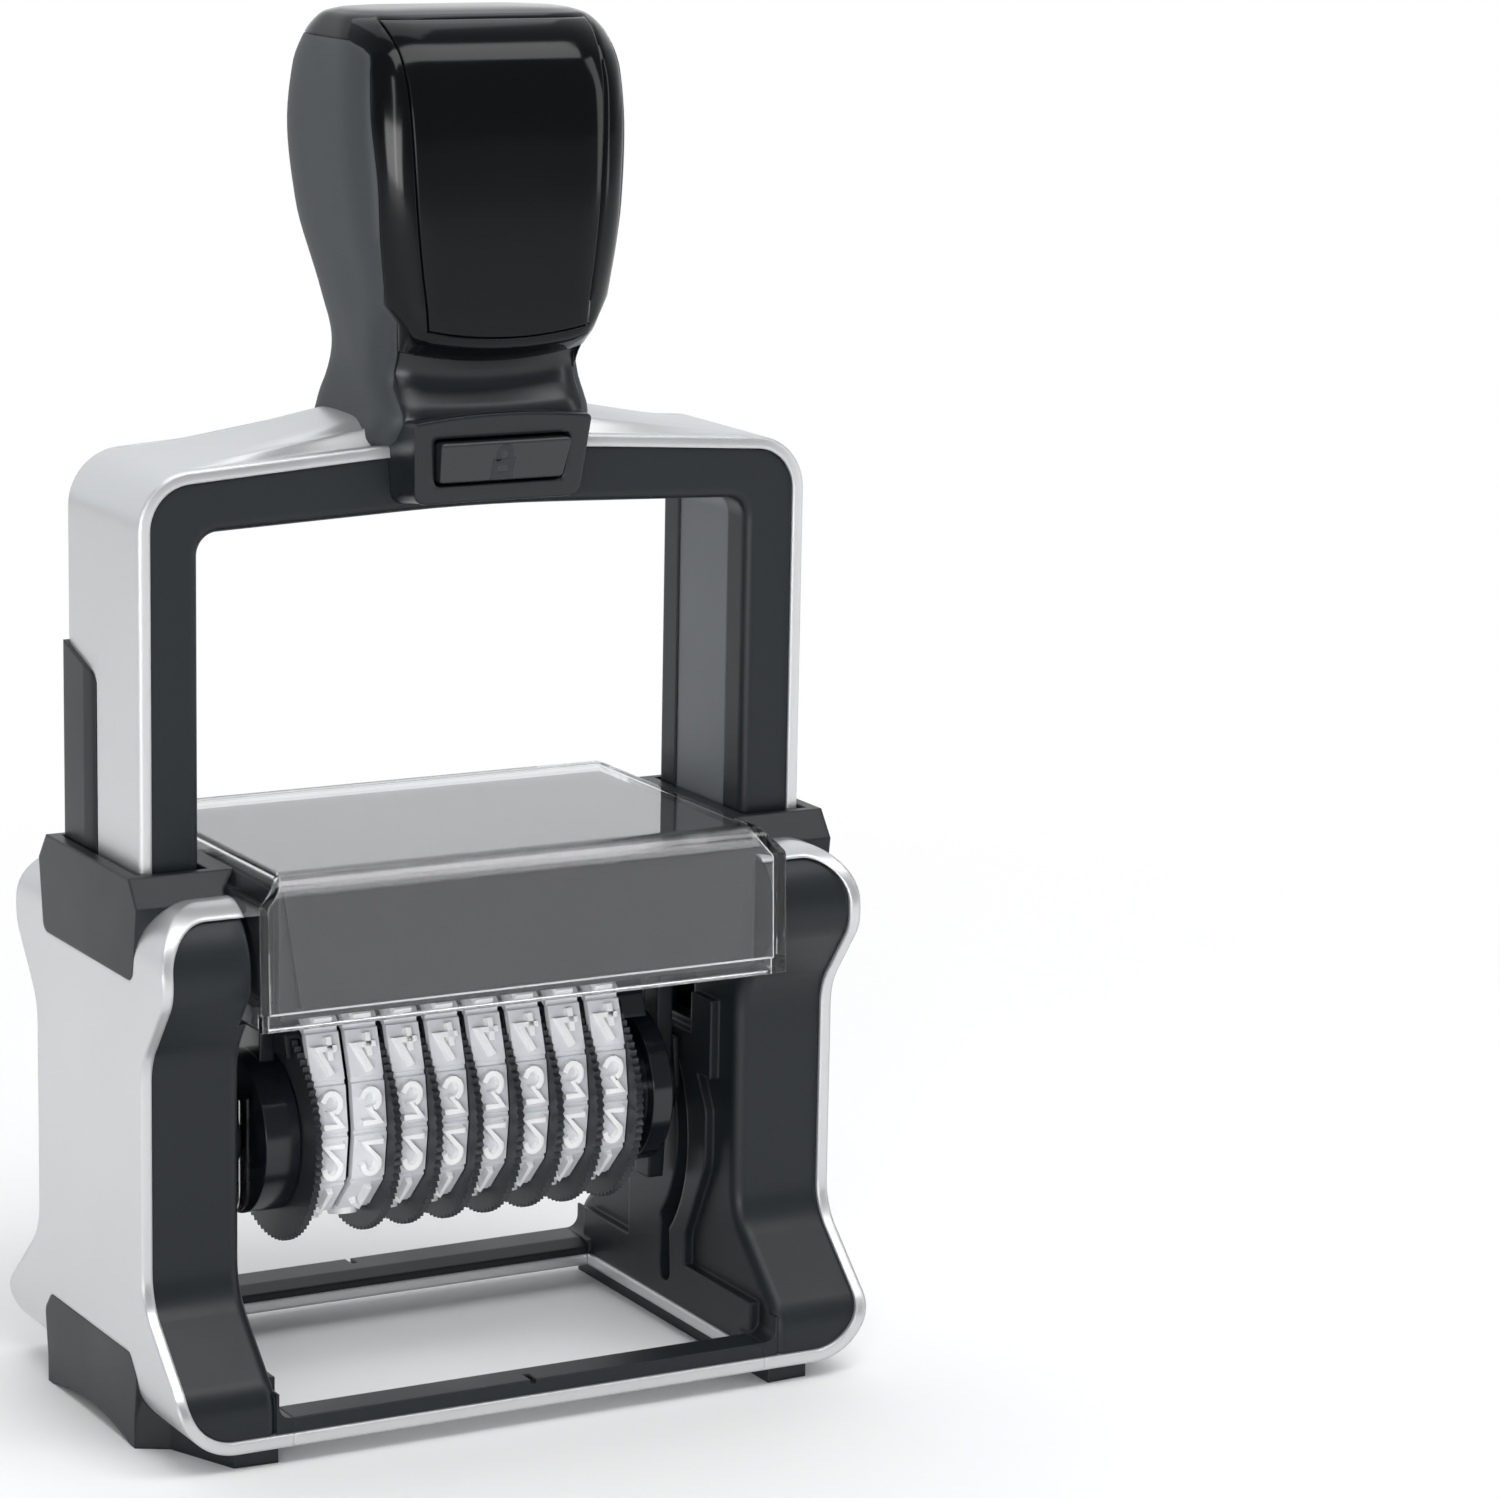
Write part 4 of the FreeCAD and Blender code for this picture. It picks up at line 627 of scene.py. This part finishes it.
def build_band(index):
    """One number band: a loop of flat plates with a raised digit on ten of them; the digits take a
    lighter copy of the band's rubber, a painted highlight.
    """
    low, high = (axis.x / MM for axis in map(Vector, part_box(f"band_{index}")))
    middle = (low + high) / 2
    loop = band_facets()
    count = len(loop)
    verts, faces = [], []

    def outward(step):
        way = (loop[(step + 1) % count] - loop[step]).normalized()
        normal = Vector((-way.y, way.x))
        centre = (loop[step] + loop[(step + 1) % count]) / 2
        return normal if normal.dot(centre - PIVOT.yz) > 0 else -normal

    def section(point, normal, depths):
        made = []
        for side, rise in depths:
            flat = point + normal * rise
            made.append(len(verts))
            verts.append(Vector((middle + side, flat.x, flat.y)))
        return made

    rings = []
    for step in range(count):
        start, end = loop[step], loop[(step + 1) % count]
        way, normal = (end - start).normalized(), outward(step)
        length = (end - start).length
        low_ring, top_ring = plate_section(-PLATE_RISE), plate_section(0)
        for distance, ring in ((PLATE_GAP, low_ring), (PLATE_EDGE, top_ring),
                               (length - PLATE_EDGE, top_ring), (length - PLATE_GAP, low_ring)):
            rings.append(section(start + way * distance, normal, ring))
    for ring, following in zip(rings, rings[1:] + rings[:1]):
        for k in range(4):
            faces.append((ring[k], ring[(k + 1) % 4], following[(k + 1) % 4], following[k]))
    belt_faces = len(faces)
    digit_of = {step: 5 - step for step in range(6)}
    digit_of.update({count - 1 - extra: 6 + extra for extra in range(4)})
    wide, tall = DIGIT_WIDTH - 2 * STROKE_TOP, DIGIT_HEIGHT - 2 * STROKE_TOP
    for step, value in digit_of.items():
        start, end = loop[step], loop[(step + 1) % count]
        way, normal, centre = (end - start).normalized(), outward(step), (start + end) / 2

        def place(x, y, rise):
            flat = centre + way * y + normal * (rise - DIGIT_SINK)
            return Vector((middle + x, flat.x, flat.y))

        for stroke in DIGITS[value]:
            stroke_mesh([(x * wide, y * tall) for x, y in stroke], verts, faces, place)
    # The plates take the darker rubber (painted shade) and the digits the lighter copy (painted
    # highlight).
    add_mesh(f"number_band_{index}", verts, faces, RUBBER, "stamp_unit", [f"band_{index}"],
             25, (DIGIT_RUBBER_PAINTED_HIGHLIGHT, belt_faces))


for number in range(1, 9):
    build_band(number)

# Bridge shell

ARCH_HALF_WIDTH, ARCH_CORNER_TOP, ARCH_CROWN, LEG_BOTTOM = 41.8, 109.9, 112.7, 50.0
ARCH_CORNER_ROUND, ARCH_CROWN_ROUND, ARCH_HALF_DEPTH, SHELL_WALL = 6.5, 250.0, 10.45, 1.4
RAMP_START, RAMP_END, RAMP_HEIGHT, RAMP_POWER, SHELL_TOP = 10.5, 36.5, 3.15, 1.12, 115.9
GROOVE_INNER, GROOVE_OUTER, GROOVE_FADE = 8.9, 9.5, 0.3


def rounded_path(corners, arc_steps, run_step=100.0):
    """Points along (x, z, radius) corners; a corner with a radius becomes an arc."""
    points = []
    count = len(corners)
    for index, (x, z, radius) in enumerate(corners):
        corner = Vector((x, z))
        if radius == 0 or index in (0, count - 1):
            points.append(corner)
            continue
        back = (Vector(corners[index - 1][:2]) - corner).normalized()
        ahead = (Vector(corners[index + 1][:2]) - corner).normalized()
        half_angle = back.angle(ahead) / 2
        centre = corner + (back + ahead).normalized() * (radius / math.sin(half_angle))
        start = corner + back * (radius / math.tan(half_angle)) - centre
        end = corner + ahead * (radius / math.tan(half_angle)) - centre
        turn = start.angle_signed(end)
        for step in range(arc_steps + 1):
            points.append(centre + Matrix.Rotation(-turn * step / arc_steps, 2) @ start)
    filled = []
    for before, after in zip(points, points[1:]):
        pieces = max(1, math.ceil((after - before).length / run_step))
        filled += [before.lerp(after, k / pieces) for k in range(pieces)]
    return filled + points[-1:]


def shell_columns():
    """Across the shell: depth, height over the outline, share of the ramp's height."""
    front = [
        (10.45, -0.30, 0), (10.38, -0.12, 0), (10.22, -0.02, 0), (10.0, 0, 0), (9.45, 0, 0),
        (9.36, -0.04, 0), (9.30, -0.16, 0.0), (9.05, -0.16, 0.0), (8.98, -0.05, 0.0),
        (8.85, 0, 0.03), (8.2, 0, 0.34),
        (7.75, 0, 0.56), (7.62, 0, 0.61), (7.48, 0, 0.62), (7.34, 0, 0.595), (7.15, 0, 0.575),
        (6.95, 0, 0.59),
        (6.5, 0, 0.67), (5.8, 0, 0.80), (5.0, 0, 0.90), (4.0, 0, 0.96), (2.5, 0, 0.99), (0, 0, 1.0),
    ]
    return [(-y, lift, share) for y, lift, share in front] + front[-2::-1]


def build_bridge_shell():
    path = rounded_path([
        (-ARCH_HALF_WIDTH, LEG_BOTTOM, 0), (-ARCH_HALF_WIDTH, ARCH_CORNER_TOP, ARCH_CORNER_ROUND),
        (0, ARCH_CROWN, ARCH_CROWN_ROUND), (ARCH_HALF_WIDTH, ARCH_CORNER_TOP, ARCH_CORNER_ROUND),
        (ARCH_HALF_WIDTH, LEG_BOTTOM, 0),
    ], 14, 1.5)
    columns = shell_columns()
    columns += [(ARCH_HALF_DEPTH, -SHELL_WALL, 0), (-ARCH_HALF_DEPTH, -SHELL_WALL, 0)]
    verts = []
    for index, point in enumerate(path):
        before, after = path[max(0, index - 1)], path[min(len(path) - 1, index + 1)]
        way = (after - before).normalized()
        outward = Vector((-way.y, way.x))
        reach = min(1.0, max(0.0, (abs(point.x) - RAMP_START) / (RAMP_END - RAMP_START)))
        on_top = smooth_step(point.y, ARCH_CORNER_TOP - 1.2, ARCH_CORNER_TOP + 0.2)
        ramp = RAMP_HEIGHT * (1 - reach) ** RAMP_POWER * on_top
        groove = min(1.0, ramp / GROOVE_FADE)
        for depth, lift, share in columns:
            is_groove = GROOVE_INNER < abs(depth) < GROOVE_OUTER
            rise = lift * groove if is_groove else lift
            flat = point + outward * rise
            verts.append(Vector((flat.x, depth, min(flat.y + ramp * share, SHELL_TOP))))
    width = len(columns)
    faces = grid_faces(len(path), width, closed=True)
    faces.append(tuple(range(width)))
    faces.append(tuple(range((len(path) - 1) * width, len(path) * width)))
    add_mesh("bridge_shell_look", verts, faces, SILVER, "bridge", ["bridge_shell"], 32)


build_bridge_shell()

# Bracket of the lock button

BRACKET_TOP, BRACKET_BOTTOM, BRACKET_BOW = 114.95, 105.5, 0.75
FACE_DEPTH_TOP, FACE_DEPTH_BOTTOM = 15.9, 14.35
BRACKET_HALF_TOP, BRACKET_HALF_BOTTOM, BRACKET_ROUND = 11.1, 10.3, 1.5
POCKET_HALF_TOP, POCKET_HALF_BOTTOM, POCKET_TOP, POCKET_BOTTOM = 8.45, 7.95, 113.0, 107.6
POCKET_ROUND, POCKET_FLOOR = 0.7, 11.2
BUTTON_DEPTH, BUTTON_LEAN, BUTTON_BOTTOM, BUTTON_TALL = 15.2, 1.5, 107.95, 4.7
PADLOCK_HEIGHT, PADLOCK_RELIEF, PADLOCK_SINK = 110.3, 0.09, 0.03


def bracket_outline(half_top, half_bottom, top, bottom, radius, bow):
    """A closed outline with rounded corners and an arched top, always the same point count."""
    corners = [(0, bottom, 0), (half_bottom, bottom, radius), (half_top, top, 0.5), (0, top, 0)]
    points = rounded_path(corners, 6)[:-1]
    last = points[-1].x
    points += [Vector((last * (1 - step / 8), top)) for step in range(1, 8)]
    for point in points:
        share = smooth_step(point.y, (top + bottom) / 2, top)
        point.y += bow * share * (1 - (point.x / half_top) ** 2)
    left = [Vector((-p.x, p.y)) for p in points[1:]][::-1]
    return points + [Vector((0, top + bow))] + left


def face_depth(height):
    share = (height - BRACKET_BOTTOM) / (BRACKET_TOP - BRACKET_BOTTOM)
    return FACE_DEPTH_BOTTOM + (FACE_DEPTH_TOP - FACE_DEPTH_BOTTOM) * share


def build_bracket():
    """The bracket, as rings from its back round the outside and into the button's pocket."""

    def at_depth(outline, sink, fixed):
        """Set an outline on the sloping face, sunk by some depth, or at one fixed depth."""
        return [Vector((p.x, -(fixed or face_depth(p.y) - sink), p.y)) for p in outline]

    def ring(inset, sink, fixed=None, stretch=0.0):
        outline = bracket_outline(
            BRACKET_HALF_TOP - inset + stretch, BRACKET_HALF_BOTTOM - inset + stretch,
            BRACKET_TOP - inset, BRACKET_BOTTOM + inset - stretch * 0.4,
            max(0.3, BRACKET_ROUND - inset), BRACKET_BOW)
        return at_depth(outline, sink, fixed)

    def pocket(grow, sink, fixed=None):
        outline = bracket_outline(POCKET_HALF_TOP + grow, POCKET_HALF_BOTTOM + grow, POCKET_TOP + grow,
                                  POCKET_BOTTOM - grow, POCKET_ROUND, 0.0)
        return at_depth(outline, sink, fixed)

    rings = [
        ring(0, 0, 10.15, 0.9), ring(0, 0, 11.6, 0.35), ring(0, 1.2), ring(0, 0.35), ring(0.06, 0.12),
        ring(0.2, 0.02), ring(0.45, 0),
        pocket(0.5, 0), pocket(0.16, 0.03), pocket(0.05, 0.14), pocket(0, 0.4),
        pocket(0, 0, POCKET_FLOOR),
    ]
    count = len(rings[0])
    verts = [point for points in rings for point in points]
    faces = grid_faces(len(rings), count, closed=True)
    faces.append(tuple(range((len(rings) - 1) * count, len(rings) * count)))
    faces.append(tuple(range(count)))
    add_mesh("button_bracket", verts, faces, BLACK_FINE, "bridge", ["button_housing"],
             38)


def button_depth(height):
    return BUTTON_DEPTH + BUTTON_LEAN * (height - BUTTON_BOTTOM) / BUTTON_TALL


def build_padlock():
    """A raised padlock outline on the button's face."""
    verts, faces = [], []

    def place(x, y, rise):
        height = PADLOCK_HEIGHT + y
        return Vector((x, -(button_depth(height) + rise * PADLOCK_RELIEF - PADLOCK_SINK), height))

    body = [(-1.05, -1.7), (1.05, -1.7), (1.05, -0.1), (-1.05, -0.1), (-1.05, -1.7)]
    shackle = [(-0.72, 0.25), (-0.72, 0.9)] + arc(0, 0.95, 0.72, 0.6, 180, 0) + [(0.72, 0.6)]
    for points in (body, shackle):
        stroke_mesh(points, verts, faces, place)
    add_mesh("padlock_mark", verts, faces, DRUM, "latch", (), 25)


build_bracket()
build_padlock()

# Return springs

SPRING_ACROSS, SPRING_RADIUS, WIRE_RADIUS, SPRING_TURNS = 38.1, 3.1, 0.45, 9
SPRING_FOOT, SPRING_HEAD, STROKE = 6.2, 49.3, 14.0
STEPS_PER_TURN, WIRE_SIDES = 20, 8


def build_spring(side, sign):
    """A coil of wire between its foot and its head."""
    steps, sides = SPRING_TURNS * STEPS_PER_TURN, WIRE_SIDES
    middle = sign * SPRING_ACROSS
    length = SPRING_HEAD - SPRING_FOOT
    verts = []
    for step in range(steps + 1):
        angle = 2 * math.pi * step / STEPS_PER_TURN
        height = SPRING_FOOT + length * step / steps
        for k in range(sides):
            turn = 2 * math.pi * k / sides
            radius = SPRING_RADIUS + WIRE_RADIUS * math.cos(turn)
            verts.append(Vector((middle + radius * math.cos(angle), radius * math.sin(angle),
                                 height + WIRE_RADIUS * math.sin(turn))))
    faces = grid_faces(steps + 1, sides, closed=True)
    faces += [tuple(range(sides)), tuple(range(steps * sides, (steps + 1) * sides))]
    spring = add_mesh(f"spring_{side}", verts, faces, STEEL, "body", [f"return_spring_{side}"],
                      40)
    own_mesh(spring)


build_spring("left", -1)
build_spring("right", 1)

# Stage

FLOOR_HALF = 6.0
FADE_START, FADE_END = 0.10, 0.32


def build_stage():
    """A pale floor that fades to plain white away from the object."""
    mesh = bpy.data.meshes.new("floor")
    size = FLOOR_HALF
    corners = [(-size, -size, 0), (size, -size, 0), (size, size, 0), (-size, size, 0)]
    mesh.from_pydata(corners, [], [(0, 1, 2, 3)])
    floor = bpy.data.objects.new("floor", mesh)
    bpy.context.scene.collection.objects.link(floor)
    m = Nodes("floor_white")
    paper = m.bump(m.noise(400, 3), 0.0001, 0.1)
    colour = m.mix(m.noise(3, 2), (0.90, 0.90, 0.905), (0.93, 0.93, 0.93))
    m.set(Base_Color=colour, Roughness=0.75, Normal=paper)
    far = m.add("VectorMath", {0: m.coords}, operation="LENGTH").outputs["Value"]
    camera_ray = m.add("LightPath").outputs["Is Camera Ray"]
    fade = m.span(far, 0, 1, FADE_START, FADE_END)
    share = m.add("Math", {0: fade, 1: camera_ray}, operation="MULTIPLY").outputs[0]
    plain = m.add("Emission", {"Color": (1, 1, 1, 1), "Strength": 1.0}).outputs[0]
    blend = m.add("MixShader", {0: share, 1: m.shader.outputs[0], 2: plain}).outputs[0]
    m.tree.links.new(blend, m.output.inputs["Surface"])
    mesh.materials.append(m.material)


def build_world():
    """Soft light that is brighter from behind; the camera and clear plastic see plain white."""
    world = bpy.data.worlds.new("studio")
    bpy.context.scene.world = world
    world.use_nodes = True
    tree = world.node_tree
    tree.nodes.clear()
    out = tree.nodes.new("ShaderNodeOutputWorld")
    rays = tree.nodes.new("ShaderNodeLightPath")
    ambient = tree.nodes.new("ShaderNodeBackground")
    ambient.inputs["Color"].default_value = (0.97, 0.985, 1.0, 1)
    direction = tree.nodes.new("ShaderNodeTexCoord").outputs["Generated"]
    parts = tree.nodes.new("ShaderNodeSeparateXYZ")
    tree.links.new(direction, parts.inputs[0])
    graded = tree.nodes.new("ShaderNodeMapRange")
    graded.interpolation_type = "SMOOTHSTEP"
    for name, value in (("From Min", -0.35), ("From Max", 0.75), ("To Min", 0.20), ("To Max", 0.9)):
        graded.inputs[name].default_value = value
    tree.links.new(parts.outputs["Y"], graded.inputs["Value"])
    tree.links.new(graded.outputs["Result"], ambient.inputs["Strength"])
    shown = tree.nodes.new("ShaderNodeBackground")
    shown.inputs["Color"].default_value = (1, 1, 1, 1)
    shown.inputs["Strength"].default_value = 1.0
    either = tree.nodes.new("ShaderNodeMath")
    either.operation = "MAXIMUM"
    tree.links.new(rays.outputs["Is Camera Ray"], either.inputs[0])
    tree.links.new(rays.outputs["Is Transmission Ray"], either.inputs[1])
    blend = tree.nodes.new("ShaderNodeMixShader")
    tree.links.new(either.outputs[0], blend.inputs[0])
    tree.links.new(ambient.outputs[0], blend.inputs[1])
    tree.links.new(shown.outputs[0], blend.inputs[2])
    tree.links.new(blend.outputs[0], out.inputs[0])


def area_light(name, place, aim_height, power, size, size_y):
    """A rectangular lamp that points at a height on the object's middle line."""
    light = bpy.data.lights.new(name, "AREA")
    light.shape = "RECTANGLE"
    light.size = size
    light.size_y = size_y
    light.energy = power
    obj = bpy.data.objects.new(name, light)
    bpy.context.scene.collection.objects.link(obj)
    obj.location = place
    aim = Vector((0, 0, aim_height)) - Vector(place)
    obj.rotation_euler = aim.to_track_quat("-Z", "Y").to_euler()


CAMERA = {
    "azimuth": -29.202, "elevation": 11.775, "roll": -1.073, "focal": 5132.83, "distance": 0.610516,
    "across": 437.115, "down": 1360.073, "width": 1500, "height": 1498, "sensor": 36.0,
}


def build_camera():
    """The photograph's camera: angles in degrees, image measures in pixels, distance in metres."""
    c = CAMERA
    azimuth, elevation, roll = (math.radians(c[k]) for k in ("azimuth", "elevation", "roll"))
    back = Vector((math.sin(azimuth) * math.cos(elevation), -math.cos(azimuth) * math.cos(elevation),
                   math.sin(elevation)))
    right = Vector((math.cos(azimuth), math.sin(azimuth), 0))
    turned = Matrix.Rotation(roll, 3, "Z") @ Matrix((right, back.cross(right), back))
    shift_x = (c["across"] - c["width"] / 2) / c["focal"] * c["distance"]
    shift_y = -(c["down"] - c["height"] / 2) / c["focal"] * c["distance"]
    place = turned.transposed() @ Vector((-shift_x, -shift_y, c["distance"]))
    data = bpy.data.cameras.new("camera")
    data.sensor_width = c["sensor"]
    data.lens = c["focal"] / c["width"] * c["sensor"]
    data.clip_start, data.clip_end = 0.05, 50
    camera = bpy.data.objects.new("camera", data)
    bpy.context.scene.collection.objects.link(camera)
    matrix = turned.transposed().to_4x4()
    matrix.translation = place
    camera.matrix_world = matrix
    bpy.context.scene.camera = camera


build_stage()
build_world()
# Each lamp: name, place, height it aims at, power, width, height
area_light("top_front", (0.12, -0.6, 1.25), 0.08, 11, 1.3, 0.6)
area_light("left_strip", (-0.80, -1.15, 0.45), 0.10, 2.5, 0.10, 1.1)
area_light("right_strip", (1.2, -0.8, 0.5), 0.08, 3.5, 0.3, 1.3)
area_light("top", (0.1, 0.5, 1.5), 0.08, 5, 1.2, 1.2)
area_light("low_front", (-0.75, -0.95, 0.12), 0.035, 4.5, 0.8, 0.2)
build_camera()
bpy.context.scene.view_settings.view_transform = "Standard"
